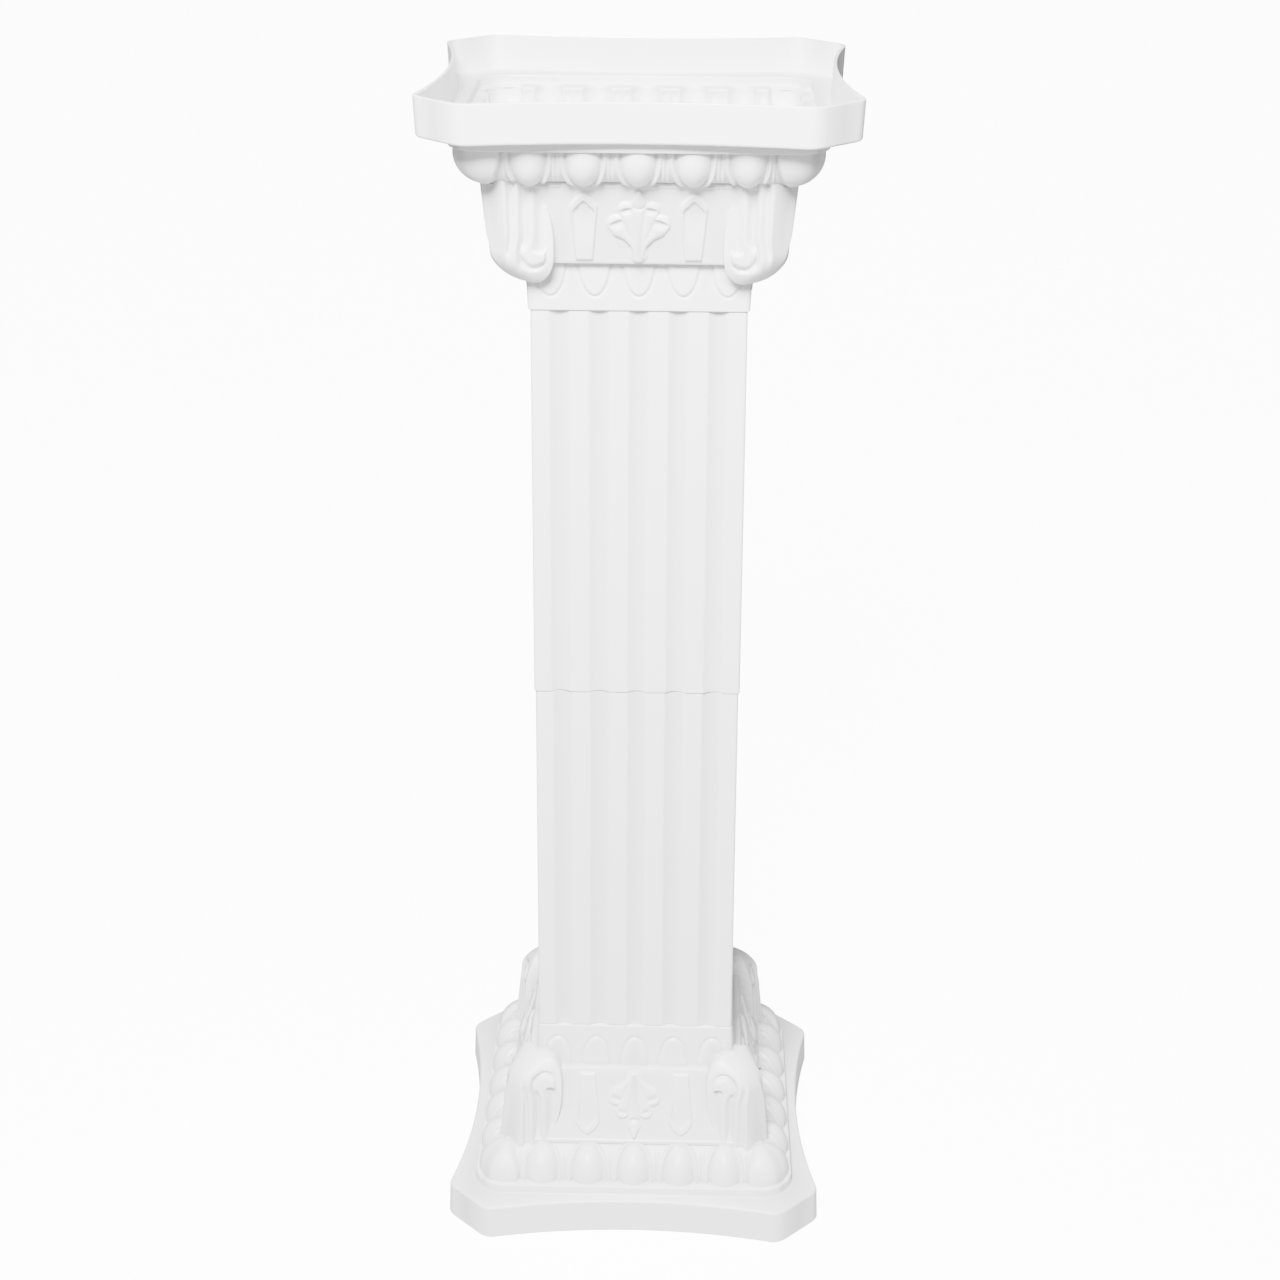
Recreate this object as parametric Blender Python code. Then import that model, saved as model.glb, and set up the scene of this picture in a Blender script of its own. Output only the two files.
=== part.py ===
"""Decorative pillar stand: a classical column of four hollow plastic mouldings.

The base and the capital are one moulding, used upright and turned over: a slab with hollow-curved sides,
an egg-and-dart row, a bell with a palmette and lancets between four corner brackets, and a neck with leaf
tips. Two square fluted tubes stand between them. Everything is in metres, +Z up, with the origin at the
middle of the underside.
"""

import math

import bmesh
import bpy
from mathutils import Matrix, Vector

MM = 0.001

# Whole stand
STAND_HEIGHT = 870 * MM
WALL = 2.5 * MM
SEAT_GAP = 0.3 * MM
FIT_CLEARANCE = 0.6 * MM

# Shaft tubes, half widths across the flats
SHAFT_FOOT_HALF = 75.0 * MM
SHAFT_TAPER = 1.0 * MM
SHAFT_EDGE_RADIUS = 2.0 * MM
FLUTES_PER_FACE = 5
FLUTE_WIDTH = 14.0 * MM
FLUTE_DEPTH = 3.2 * MM
CORNER_RIDGE = 12.8 * MM
FLUTE_STEPS = 4
TONGUE_HEIGHT = 14.0 * MM

# End moulding, heights from its open rim to its neck end
SLAB_HEIGHT = 27.0 * MM
BAND_HEIGHT = 6.2 * MM
OVOLO_HEIGHT = 24.0 * MM
FILLET_HEIGHT = 4.0 * MM
BELL_HEIGHT = 54.5 * MM
NECK_HEIGHT = 34.3 * MM
SPIGOT_HEIGHT = 12.0 * MM

# End moulding, how far each member stands out from the one nearer the shaft
NECK_OVERHANG = 0.5 * MM
NECK_FLARE = 1.7 * MM
LEDGE_DEPTH = 6.4 * MM
BELL_FLARE = 16.4 * MM
OVOLO_PROJECTION = 15.0 * MM
BAND_OVERHANG = 8.0 * MM
SLAB_OVERHANG = 23.3 * MM

# Slab outline
SLAB_CHAMFER = 32.6 * MM
SLAB_SAGITTA = 13.0 * MM
SLAB_CORNER_RADIUS = 12.0 * MM
SLAB_DRAFT = 1.2 * MM
SLAB_EDGE = 1.6 * MM
SLAB_SIDE_STEPS = 6

# Corner radii of the square members
BAND_RADIUS = 25.0 * MM
BELL_RADIUS = 14.0 * MM
NECK_RADIUS = 2.5 * MM
SPIGOT_RADIUS = 4.0 * MM

# Egg row
EGGS_PER_FACE = 5
EGG_CORNER_SHARE = 0.92
EGG_HALF_WIDTH = 11.5 * MM
EGG_HALF_HEIGHT = 21.0 * MM
EGG_RELIEF = 6.5 * MM
EGG_ROOT = 10.5 * MM
CORNER_EGG_RADIUS = 23.0 * MM
DART_WIDTH = 2.6 * MM
DART_RELIEF = 3.4 * MM

# Corner brackets: a chamfered block that rounds over to the neck
BRACKET_PROJECTION = 5.8 * MM
BRACKET_DRAFT = 3.3 * MM
BRACKET_CHAMFER = 17.0 * MM
BRACKET_ROUNDING = 18.0 * MM
BRACKET_LENGTH = 73.0 * MM
BRACKET_ROOT = 3.0 * MM
BRACKET_STEPS = 3
BRACKET_LAST_TURN = math.radians(80)

# Two nested arches cut in each face of a bracket: inset from its edge, depth, and drop from its end
OUTER_ARCH_INSET = 9.0 * MM
OUTER_ARCH_DEPTH = 2.6 * MM
OUTER_ARCH_DROP = 8.0 * MM
INNER_ARCH_INSET = 18.0 * MM
INNER_ARCH_DEPTH = 5.2 * MM
INNER_ARCH_DROP = 16.0 * MM
ARCH_CLEARANCE = 0.6 * MM

# The leaf inside the inner arch, which slopes back to the bell
LEAF_WIDTH = 15.5 * MM
LEAF_SLOPE = 10.0 * MM
LEAF_SWELL_POWER = 1.4

# Bell and neck ornament
RELIEF = 2.2 * MM
SINK = 1.5 * MM
LANCET_OFFSET = 36.4 * MM
LANCET_WIDTH = 18.4 * MM
LANCET_FOOT_WIDTH = 11.0 * MM
LANCET_HEIGHT = 47.3 * MM
LANCET_FOOT_GAP = 2.4 * MM
LANCET_SHOULDER = 0.8
LANCET_POINT_SHARE = 0.4
LANCET_POINT_WIDTH = 0.55
PETAL_FOOT_GAP = 1.2 * MM
PETAL_FOOT_SPREAD = 6.0 * MM
PETAL_WAIST = 0.5
PETAL_SHOULDER = 0.8
LEAF_TIP_PITCH = 30.0 * MM
LEAF_TIPS_PER_FACE = 5
LEAF_TIP_WIDTH = 20.8 * MM
LEAF_TIP_LENGTH = 23.0 * MM
LEAF_TIP_RELIEF = 1.3 * MM
LEAF_TIP_STEPS = 4
LEAF_TIP_POWER = 0.8

# The palmette's lobes from the middle outwards: lean, length, width and relief of each
PALMETTE_PETALS = (
    (0.0, 50.0 * MM, 13.0 * MM, 2.8 * MM),
    (0.25, 43.0 * MM, 12.0 * MM, 2.2 * MM),
    (0.56, 37.0 * MM, 15.0 * MM, 1.7 * MM),
)

# How finely curves are divided
CORNER_STEPS = 3
SLAB_CORNER_STEPS = 2
HOLLOW_CORNER_STEPS = 2
OVOLO_STEPS = 2
DART_STEPS = 2
EGG_SEGMENTS = 10
CORNER_EGG_SEGMENTS = 12
EGG_RINGS = 5
LEAST_RADIUS = 0.8 * MM
MERGE_ANGLE = math.radians(0.5)
FLUTE_EDGE_ANGLE = math.radians(30)
CARVING_EDGE_ANGLE = math.radians(40)

# Finish: the four mouldings differ a little in shade
SATIN_ROUGHNESS = 0.42
BASE_SHADE = 0.80
LOWER_SHADE = 0.84
UPPER_SHADE = 0.86
CAPITAL_SHADE = 0.88

# Levels and half widths that follow from the sizes above
BAND_LEVEL = SLAB_HEIGHT
OVOLO_LEVEL = BAND_LEVEL + BAND_HEIGHT
FILLET_LEVEL = OVOLO_LEVEL + OVOLO_HEIGHT
BELL_LEVEL = FILLET_LEVEL + FILLET_HEIGHT
LEDGE_LEVEL = BELL_LEVEL + BELL_HEIGHT
NECK_END = LEDGE_LEVEL + NECK_HEIGHT
SHAFT_LENGTH = (STAND_HEIGHT - 2 * NECK_END - 3 * SEAT_GAP) / 2

SHAFT_HEAD_HALF = SHAFT_FOOT_HALF - SHAFT_TAPER
NECK_END_HALF = SHAFT_FOOT_HALF + NECK_OVERHANG
NECK_HALF = NECK_END_HALF + NECK_FLARE
BELL_FOOT_HALF = NECK_HALF + LEDGE_DEPTH
BELL_HEAD_HALF = BELL_FOOT_HALF + BELL_FLARE
OVOLO_HALF = BELL_HEAD_HALF + OVOLO_PROJECTION
BAND_HALF = OVOLO_HALF + BAND_OVERHANG
SLAB_HALF = BAND_HALF + SLAB_OVERHANG
SPIGOT_HALF = SHAFT_HEAD_HALF - FLUTE_DEPTH - WALL - FIT_CLEARANCE
TONGUE_HALF = SHAFT_FOOT_HALF - FLUTE_DEPTH - WALL - FIT_CLEARANCE
EGG_PITCH = (OVOLO_HALF + EGG_RELIEF) / (EGGS_PER_FACE / 2 + EGG_CORNER_SHARE)
EGG_LEVEL = OVOLO_LEVEL + OVOLO_HEIGHT / 5


def clear_scene():
    """Removes every object that the file starts with."""
    for thing in list(bpy.data.objects):
        bpy.data.objects.remove(thing, do_unlink=True)


def collection(name):
    """A new collection linked to the scene."""
    group = bpy.data.collections.new(name)
    bpy.context.scene.collection.children.link(group)
    return group


def plastic(name, shade):
    """White moulded plastic with a satin face."""
    material = bpy.data.materials.new(name)
    material.use_nodes = True
    shader = material.node_tree.nodes["Principled BSDF"]
    shader.inputs["Base Color"].default_value = (shade, shade, shade, 1.0)
    shader.inputs["Roughness"].default_value = SATIN_ROUGHNESS
    shader.inputs["Metallic"].default_value = 0.0
    return material


def rounded_outline(corners, steps):
    """A closed flat outline from (point, radius) pairs; a corner with a radius becomes an arc."""
    points = []
    for index, (corner, radius) in enumerate(corners):
        if radius <= 0:
            points.append(corner)
            continue
        before = (corners[index - 1][0] - corner).normalized()
        after = (corners[(index + 1) % len(corners)][0] - corner).normalized()
        half_angle = before.angle(after) / 2
        centre = corner + (before + after).normalized() * radius / math.sin(half_angle)
        start = corner + before * radius / math.tan(half_angle) - centre
        end = corner + after * radius / math.tan(half_angle) - centre
        for step in range(steps + 1):
            share = step / steps
            points.append(centre + (start * (1 - share) + end * share).normalized() * radius)
    return points


def square_outline(half, radius, steps=CORNER_STEPS):
    """A square outline with rounded corners."""
    corners = [(-half, -half), (half, -half), (half, half), (-half, half)]
    return rounded_outline([(Vector(corner), radius) for corner in corners], steps)


def slab_outline(inset):
    """The slab's outline: four hollow-curved sides and four chamfered corners, set in by a margin."""
    half = SLAB_HALF - inset
    reach = 2 * SLAB_HALF - SLAB_CHAMFER - inset * math.sqrt(2) - half
    arc_radius = (reach ** 2 + SLAB_SAGITTA ** 2) / (2 * SLAB_SAGITTA)
    corners = []
    for turn in range(4):
        quarter = Matrix.Rotation(turn * math.pi / 2, 2)
        for step in range(SLAB_SIDE_STEPS + 1):
            lateral = reach * (2 * step / SLAB_SIDE_STEPS - 1)
            rise = math.sqrt(arc_radius ** 2 - lateral ** 2) - (arc_radius - SLAB_SAGITTA)
            at_end = step in (0, SLAB_SIDE_STEPS)
            point = quarter @ Vector((lateral, -(half - rise)))
            corners.append((point, SLAB_CORNER_RADIUS if at_end else 0.0))
    return rounded_outline(corners, SLAB_CORNER_STEPS)


def fluted_outline(half):
    """A square tube's outline with flutes on every face."""
    pitch = 2 * (half - CORNER_RIDGE - FLUTE_WIDTH / 2) / (FLUTES_PER_FACE - 1)
    corners = []
    for turn in range(4):
        quarter = Matrix.Rotation(turn * math.pi / 2, 2)
        corners.append((quarter @ Vector((-half, -half)), SHAFT_EDGE_RADIUS))
        for flute in range(FLUTES_PER_FACE):
            middle = (flute - (FLUTES_PER_FACE - 1) / 2) * pitch
            for step in range(FLUTE_STEPS + 1):
                share = 2 * step / FLUTE_STEPS - 1
                depth = FLUTE_DEPTH * (1 - share ** 2)
                lateral = middle + share * FLUTE_WIDTH / 2
                corners.append((quarter @ Vector((lateral, -(half - depth))), 0.0))
    return rounded_outline(corners, SLAB_CORNER_STEPS)


def at_level(outline, level):
    """The flat outline's points at a height."""
    return [Vector((point.x, point.y, level)) for point in outline]


def add_loft(mesh, rings, place=None):
    """Adds a closed solid that joins like rings of points, capped at both ends."""
    place = place or Matrix.Identity(4)
    rows = [[mesh.verts.new(place @ point) for point in ring] for ring in rings]
    faces = [mesh.faces.new(list(reversed(rows[0]))), mesh.faces.new(rows[-1])]
    for lower, upper in zip(rows, rows[1:]):
        count = len(lower)
        for index in range(count):
            after = (index + 1) % count
            faces.append(mesh.faces.new((lower[index], lower[after], upper[after], upper[index])))
    bmesh.ops.recalc_face_normals(mesh, faces=faces)


def finish_object(name, mesh, group):
    """Makes an object of the built mesh and links it to a collection."""
    data = bpy.data.meshes.new(name)
    mesh.to_mesh(data)
    mesh.free()
    thing = bpy.data.objects.new(name, data)
    group.objects.link(thing)
    return thing


def loft_object(name, rings, group):
    """One lofted solid as an object."""
    mesh = bmesh.new()
    add_loft(mesh, rings)
    return finish_object(name, mesh, group)


def combine(target, tool, operation, with_itself=False):
    """Joins or cuts the target with a tool object, by a Boolean modifier."""
    modifier = target.modifiers.new(tool.name, "BOOLEAN")
    modifier.solver = "EXACT"
    modifier.operation = operation
    modifier.use_self = with_itself
    modifier.object = tool


def settled_mesh(thing, name):
    """The object's mesh with its modifiers worked in."""
    evaluated = thing.evaluated_get(bpy.context.evaluated_depsgraph_get())
    mesh = bpy.data.meshes.new_from_object(evaluated)
    mesh.name = name
    return mesh


def bell_half(level):
    """The bell face's distance from the axis at a height."""
    return BELL_HEAD_HALF - BELL_FLARE * (level - BELL_LEVEL) / BELL_HEIGHT


def neck_half(level):
    """The neck face's distance from the axis at a height."""
    return NECK_HALF - NECK_FLARE * (level - LEDGE_LEVEL) / NECK_HEIGHT


def core_profile():
    """The square core from the slab to the spigot, as (half width, height, corner radius)."""
    profile = [(BAND_HALF, BAND_LEVEL - WALL, BAND_RADIUS), (BAND_HALF, OVOLO_LEVEL, BAND_RADIUS)]
    for step in range(OVOLO_STEPS + 1):
        angle = step / OVOLO_STEPS * math.pi / 2
        half = BELL_HEAD_HALF + OVOLO_PROJECTION * math.cos(angle)
        radius = BELL_RADIUS + (BAND_RADIUS - BELL_RADIUS) * math.cos(angle)
        profile.append((half, OVOLO_LEVEL + OVOLO_HEIGHT * math.sin(angle), radius))
    profile.append((BELL_HEAD_HALF, BELL_LEVEL, BELL_RADIUS))
    profile.append((BELL_FOOT_HALF, LEDGE_LEVEL, NECK_RADIUS))
    profile.append((NECK_HALF, LEDGE_LEVEL, NECK_RADIUS))
    profile.append((NECK_END_HALF, NECK_END, NECK_RADIUS))
    profile.append((SPIGOT_HALF, NECK_END, SPIGOT_RADIUS))
    profile.append((SPIGOT_HALF, NECK_END + SPIGOT_HEIGHT, SPIGOT_RADIUS))
    return profile


def inner_profile(profile):
    """The profile moved in by the wall, so that the hollow follows the outer skin."""
    path = [Vector((half, level)) for half, level, _ in profile]
    path.append(Vector((0.0, path[-1].y)))
    moved = []
    for index, (half, level, radius) in enumerate(profile):
        along = [(path[index + 1] - path[index]).normalized()]
        if index > 0:
            along.append((path[index] - path[index - 1]).normalized())
        inward = [Vector((-step.y, step.x)) for step in along]
        mitre = sum(inward, Vector((0.0, 0.0))).normalized()
        point = path[index] + mitre * WALL / mitre.dot(inward[0])
        moved.append((point.x, point.y, max(radius - WALL, LEAST_RADIUS)))
    return moved


def bracket_face(level):
    """How far a corner bracket's outer face stands from the axis at a height."""
    straight_end = FILLET_LEVEL + BRACKET_LENGTH - BRACKET_ROUNDING
    share = (level - FILLET_LEVEL) / (straight_end - FILLET_LEVEL)
    head = BELL_HEAD_HALF + BRACKET_PROJECTION
    if level <= straight_end:
        return head - BRACKET_DRAFT * share
    fall = head - BRACKET_DRAFT - NECK_HALF
    turn = min((level - straight_end) / BRACKET_ROUNDING, 1.0)
    return NECK_HALF + fall * math.sqrt(1 - turn ** 2)


def bracket_levels():
    """Heights of the bracket's sections, closer together where it rounds over."""
    end = FILLET_LEVEL + BRACKET_LENGTH
    straight_end = end - BRACKET_ROUNDING
    start = FILLET_LEVEL - BRACKET_ROOT
    arch_start = straight_end - OUTER_ARCH_DROP
    levels = [start, (start + arch_start) / 2, arch_start]
    for step in range(BRACKET_STEPS + 1):
        turn = step / BRACKET_STEPS * BRACKET_LAST_TURN
        levels.append(straight_end + BRACKET_ROUNDING * math.sin(turn))
    return levels


def bracket_face_edge():
    """The lateral place where a bracket's face meets its chamfer."""
    return BELL_HEAD_HALF + BRACKET_PROJECTION - BRACKET_CHAMFER


def arch_half(level, inset, drop):
    """An arch's half width at a height: upright sides that round in, clear past the bracket's inner edge."""
    outer = bracket_face_edge() - inset
    inner = bracket_face_edge() - INNER_ARCH_INSET - LEAF_WIDTH / 2 - ARCH_CLEARANCE
    crown = FILLET_LEVEL + BRACKET_LENGTH - drop
    radius = outer - inner
    rise = level - (crown - radius)
    if rise <= 0:
        return outer
    if rise >= radius:
        return inner
    return inner + math.sqrt(radius ** 2 - rise ** 2)


def bracket_inner_edge(level):
    """The lateral place of the bracket's inner edge: a leaf that swells and rounds off below the ledge."""
    arch_edge = bracket_face_edge() - INNER_ARCH_INSET - LEAF_WIDTH / 2
    share = min(max((level - FILLET_LEVEL) / (LEDGE_LEVEL - FILLET_LEVEL), 0.0), 1.0)
    swell = math.sin(share ** LEAF_SWELL_POWER * math.pi)
    return arch_edge - LEAF_WIDTH / 2 * swell


def corner_ring(section, level):
    """A section's (lateral, depth) points at a height, in the corner towards +X and -Y."""
    return [Vector((side, -deep, level)) for side, deep in section]


def bracket_object(group):
    """One corner bracket with its nested arches, in the corner towards +X and -Y."""
    block_rings, outer_rings, inner_rings = [], [], []
    for level in bracket_levels():
        face, edge = bracket_face(level), bracket_inner_edge(level)
        near = [(edge, SPIGOT_HALF), (edge, face), (face - BRACKET_CHAMFER, face)]
        block_rings.append(corner_ring(near + [(deep, side) for side, deep in reversed(near)], level))
        start, clear = edge - LEAF_WIDTH, SLAB_HALF
        outer = arch_half(level, OUTER_ARCH_INSET, OUTER_ARCH_DROP)
        floor = face - OUTER_ARCH_DEPTH
        section = [(start, floor), (outer, floor), (outer, clear), (start, clear)]
        outer_rings.append(corner_ring(section, level))
        inner = arch_half(level, INNER_ARCH_INSET, INNER_ARCH_DROP)
        floor = face - INNER_ARCH_DEPTH
        section = [(start, floor - LEAF_SLOPE), (inner, floor), (inner, clear), (start, clear)]
        inner_rings.append(corner_ring(section, level))
    bracket = loft_object("bracket", block_rings, group)
    for name, rings in (("outer_arch", outer_rings), ("inner_arch", inner_rings)):
        cutter = bmesh.new()
        add_loft(cutter, rings)
        add_loft(cutter, [[Vector((-point.y, -point.x, point.z)) for point in ring] for ring in rings])
        combine(bracket, finish_object(name, cutter, group), "DIFFERENCE", True)
    return bracket


def relief_rings(outline, half_at, lift):
    """A raised plate's two rings from (lateral, height) points: one sunk in the face, one proud of it."""
    back = [Vector((side, -(half_at(level) - SINK), level)) for side, level in outline]
    front = [Vector((side, -(half_at(level) + lift), level)) for side, level in outline]
    return [back, front]


def lancet_outline(middle):
    """A pointed leaf: narrow foot at the ledge, shoulders, and a point towards the egg row."""
    foot = LEDGE_LEVEL - LANCET_FOOT_GAP
    tip = foot - LANCET_HEIGHT
    shoulder = foot - LANCET_HEIGHT * LANCET_SHOULDER
    half = LANCET_WIDTH / 2
    point_base = (half * LANCET_POINT_WIDTH, shoulder + LANCET_POINT_SHARE * (tip - shoulder))
    right = [(LANCET_FOOT_WIDTH / 2, foot), (half, shoulder), point_base]
    left = [(-side, level) for side, level in reversed(right)]
    return [(middle + side, level) for side, level in right + [(0.0, tip)] + left]


def petal_outline(lean, length, width):
    """A lobe of the palmette, leaning sideways from its own place near the palmette's foot."""
    root = PETAL_FOOT_SPREAD * lean
    foot = LEDGE_LEVEL - PETAL_FOOT_GAP - abs(root)
    right = [(PETAL_WAIST * length, width / 4), (PETAL_SHOULDER * length, width / 2)]
    left = [(along, -across) for along, across in reversed(right)]
    outline = []
    for along, across in [(0.0, 0.0)] + right + [(length, 0.0)] + left:
        side = root + along * math.sin(lean) + across * math.cos(lean)
        outline.append((side, foot - along * math.cos(lean) + across * math.sin(lean)))
    return outline


def leaf_tip_outline(middle):
    """A leaf tip hanging from the ledge: a parabola."""
    points = []
    for step in range(LEAF_TIP_STEPS + 1):
        across = 1 - 2 * step / LEAF_TIP_STEPS
        level = LEDGE_LEVEL - SINK + (LEAF_TIP_LENGTH + SINK) * (1 - across ** 2) ** LEAF_TIP_POWER
        points.append((middle + across * LEAF_TIP_WIDTH / 2, level))
    return points


def dart_rings(middle):
    """A slim ridge that follows the quarter-round between two eggs."""
    rings = []
    for step in range(DART_STEPS + 1):
        angle = step / DART_STEPS * math.pi / 2
        level = OVOLO_LEVEL - SINK + (OVOLO_HEIGHT + SINK) * math.sin(angle)
        ground = BELL_HEAD_HALF - SINK + OVOLO_PROJECTION * math.cos(angle)
        crest = BELL_HEAD_HALF + (OVOLO_PROJECTION + DART_RELIEF) * math.cos(angle)
        ring = [(middle - DART_WIDTH, ground), (middle, crest), (middle + DART_WIDTH, ground)]
        rings.append([Vector((side, -deep, level)) for side, deep in ring])
    return rings


def add_egg(mesh, place, half_width, half_depth, segments):
    """An egg's ellipsoid, its middle at a place on the quarter-round."""
    sized = place @ Matrix.Diagonal((half_width, half_depth, EGG_HALF_HEIGHT, 1.0))
    bmesh.ops.create_uvsphere(mesh, u_segments=segments, v_segments=EGG_RINGS, radius=1.0, matrix=sized)


def carving_object(group):
    """All the raised ornament of one end moulding, on its four faces and corners."""
    mesh = bmesh.new()
    for turn in range(4):
        face = Matrix.Rotation(turn * math.pi / 2, 4, "Z")
        for egg in range(EGGS_PER_FACE):
            middle = (egg - (EGGS_PER_FACE - 1) / 2) * EGG_PITCH
            place = face @ Matrix.Translation((middle, EGG_ROOT - OVOLO_HALF, EGG_LEVEL))
            add_egg(mesh, place, EGG_HALF_WIDTH, EGG_ROOT + EGG_RELIEF, EGG_SEGMENTS)
        for dart in range(EGGS_PER_FACE - 1):
            middle = (dart + 1 - EGGS_PER_FACE / 2) * EGG_PITCH
            add_loft(mesh, dart_rings(middle), face)
        corner = OVOLO_HALF + EGG_RELIEF - CORNER_EGG_RADIUS
        turned = Matrix.Rotation(math.pi / 4, 4, "Z")
        place = face @ Matrix.Translation((corner, -corner, EGG_LEVEL)) @ turned
        add_egg(mesh, place, CORNER_EGG_RADIUS, CORNER_EGG_RADIUS, CORNER_EGG_SEGMENTS)
        for side in (-1, 1):
            add_loft(mesh, relief_rings(lancet_outline(side * LANCET_OFFSET), bell_half, RELIEF), face)
        for lean, length, width, lift in PALMETTE_PETALS:
            for side in (-1, 1) if lean else (1,):
                outline = petal_outline(side * lean, length, width)
                add_loft(mesh, relief_rings(outline, bell_half, lift), face)
        for tip in range(LEAF_TIPS_PER_FACE):
            middle = (tip - (LEAF_TIPS_PER_FACE - 1) / 2) * LEAF_TIP_PITCH
            add_loft(mesh, relief_rings(leaf_tip_outline(middle), neck_half, LEAF_TIP_RELIEF), face)
    return finish_object("carving", mesh, group)


def end_moulding(group):
    """The mesh of the base and the capital, standing on its open rim."""
    profile = core_profile()
    rings = [at_level(square_outline(half, radius), level) for half, level, radius in profile]
    moulding = loft_object("moulding", rings, group)
    slab = [at_level(slab_outline(0.0), 0.0), at_level(slab_outline(SLAB_DRAFT), SLAB_HEIGHT - SLAB_EDGE)]
    slab.append(at_level(slab_outline(SLAB_DRAFT + SLAB_EDGE), SLAB_HEIGHT))
    combine(moulding, loft_object("slab", slab, group), "UNION")
    bracket = bracket_object(group)
    corner = settled_mesh(bracket, "corner_bracket")
    for turn in range(4):
        copy = bpy.data.objects.new(f"corner_bracket_{turn}", corner)
        copy.rotation_euler = (0.0, 0.0, turn * math.pi / 2)
        group.objects.link(copy)
        combine(moulding, copy, "UNION")
    combine(moulding, carving_object(group), "UNION", True)
    well = []
    for half, level, radius in inner_profile(profile):
        well.append(at_level(square_outline(half, radius, HOLLOW_CORNER_STEPS), level))
    well.insert(0, at_level(well[0], SLAB_HEIGHT / 2))
    combine(moulding, loft_object("well", well, group), "DIFFERENCE")
    rim = [at_level(slab_outline(WALL), -WALL), at_level(slab_outline(WALL + SLAB_DRAFT), SLAB_HEIGHT - WALL)]
    combine(moulding, loft_object("rim_hollow", rim, group), "DIFFERENCE")
    flats = moulding.modifiers.new("flats", "DECIMATE")
    flats.decimate_type = "DISSOLVE"
    flats.angle_limit = MERGE_ANGLE
    return settled_mesh(moulding, "end_moulding")


def shaft_tube(name, foot, with_tongue, tools, parts):
    """A fluted tube standing at a height, with a tongue on top where another tube fits over it."""
    head = foot + SHAFT_LENGTH
    tube_foot = at_level(fluted_outline(SHAFT_FOOT_HALF), foot)
    tube_head = at_level(fluted_outline(SHAFT_HEAD_HALF), head)
    tube = loft_object(name, [tube_foot, tube_head], parts)
    bore_end = head - WALL if with_tongue else head + WALL
    skin = FLUTE_DEPTH + WALL
    bore_foot = at_level(square_outline(SHAFT_FOOT_HALF - skin, SPIGOT_RADIUS), foot - WALL)
    bore_head = at_level(square_outline(SHAFT_HEAD_HALF - skin, SPIGOT_RADIUS), bore_end)
    combine(tube, loft_object(name + "_bore", [bore_foot, bore_head], tools), "DIFFERENCE")
    if with_tongue:
        tongue = square_outline(TONGUE_HALF, SPIGOT_RADIUS)
        way = square_outline(TONGUE_HALF - WALL, SPIGOT_RADIUS - WALL)
        rings = [at_level(tongue, head - WALL / 2), at_level(tongue, head + TONGUE_HEIGHT)]
        combine(tube, loft_object("tongue", rings, tools), "UNION")
        rings = [at_level(way, head - 2 * WALL), at_level(way, head + TONGUE_HEIGHT + WALL)]
        combine(tube, loft_object("tongue_way", rings, tools), "DIFFERENCE")
    return tube


def main():
    """Builds the four pieces and stands them one on another."""
    clear_scene()
    parts = collection("pillar_stand")
    tools = collection("cutters")
    moulding = end_moulding(tools)
    base = bpy.data.objects.new("base", moulding)
    capital = bpy.data.objects.new("capital", moulding.copy())
    capital.location = (0.0, 0.0, STAND_HEIGHT)
    capital.rotation_euler = (math.pi, 0.0, 0.0)
    parts.objects.link(base)
    parts.objects.link(capital)
    lower_foot = NECK_END + SEAT_GAP
    lower = shaft_tube("lower_shaft", lower_foot, True, tools, parts)
    upper = shaft_tube("upper_shaft", lower_foot + SHAFT_LENGTH + SEAT_GAP, False, tools, parts)
    shades = ((base, BASE_SHADE), (lower, LOWER_SHADE), (upper, UPPER_SHADE), (capital, CAPITAL_SHADE))
    for piece, shade in shades:
        piece.data.materials.clear()
        piece.data.materials.append(plastic(piece.name + "_plastic", shade))
        piece.data.shade_smooth()
        carved = piece in (base, capital)
        piece.data.set_sharp_from_angle(angle=CARVING_EDGE_ANGLE if carved else FLUTE_EDGE_ANGLE)
    for tool in tools.objects:
        tool.hide_render = True
        tool.display_type = "WIRE"


main()
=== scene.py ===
"""Looks of a decorative pillar stand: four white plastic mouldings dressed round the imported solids.

Each moulding is alike on its four faces, and each face mirrors about its middle. So a skin is worked out
over half a face, in millimetres, as a grid of points (lateral, depth, level): lateral runs from the middle
of the face to the corner diagonal, depth is the distance from the axis, and level is the height above the
moulding's own open rim, or above a tube's foot. The grid becomes a mesh in metres, which is thinned out
where it is very fine, mirrored and turned round. The mouldings' sizes are in millimetres, the studio's in
metres.
"""

import logging
import math
from dataclasses import dataclass
from enum import Enum

import bmesh
import bpy
import numpy as np
from mathutils import Matrix, Vector, kdtree


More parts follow.
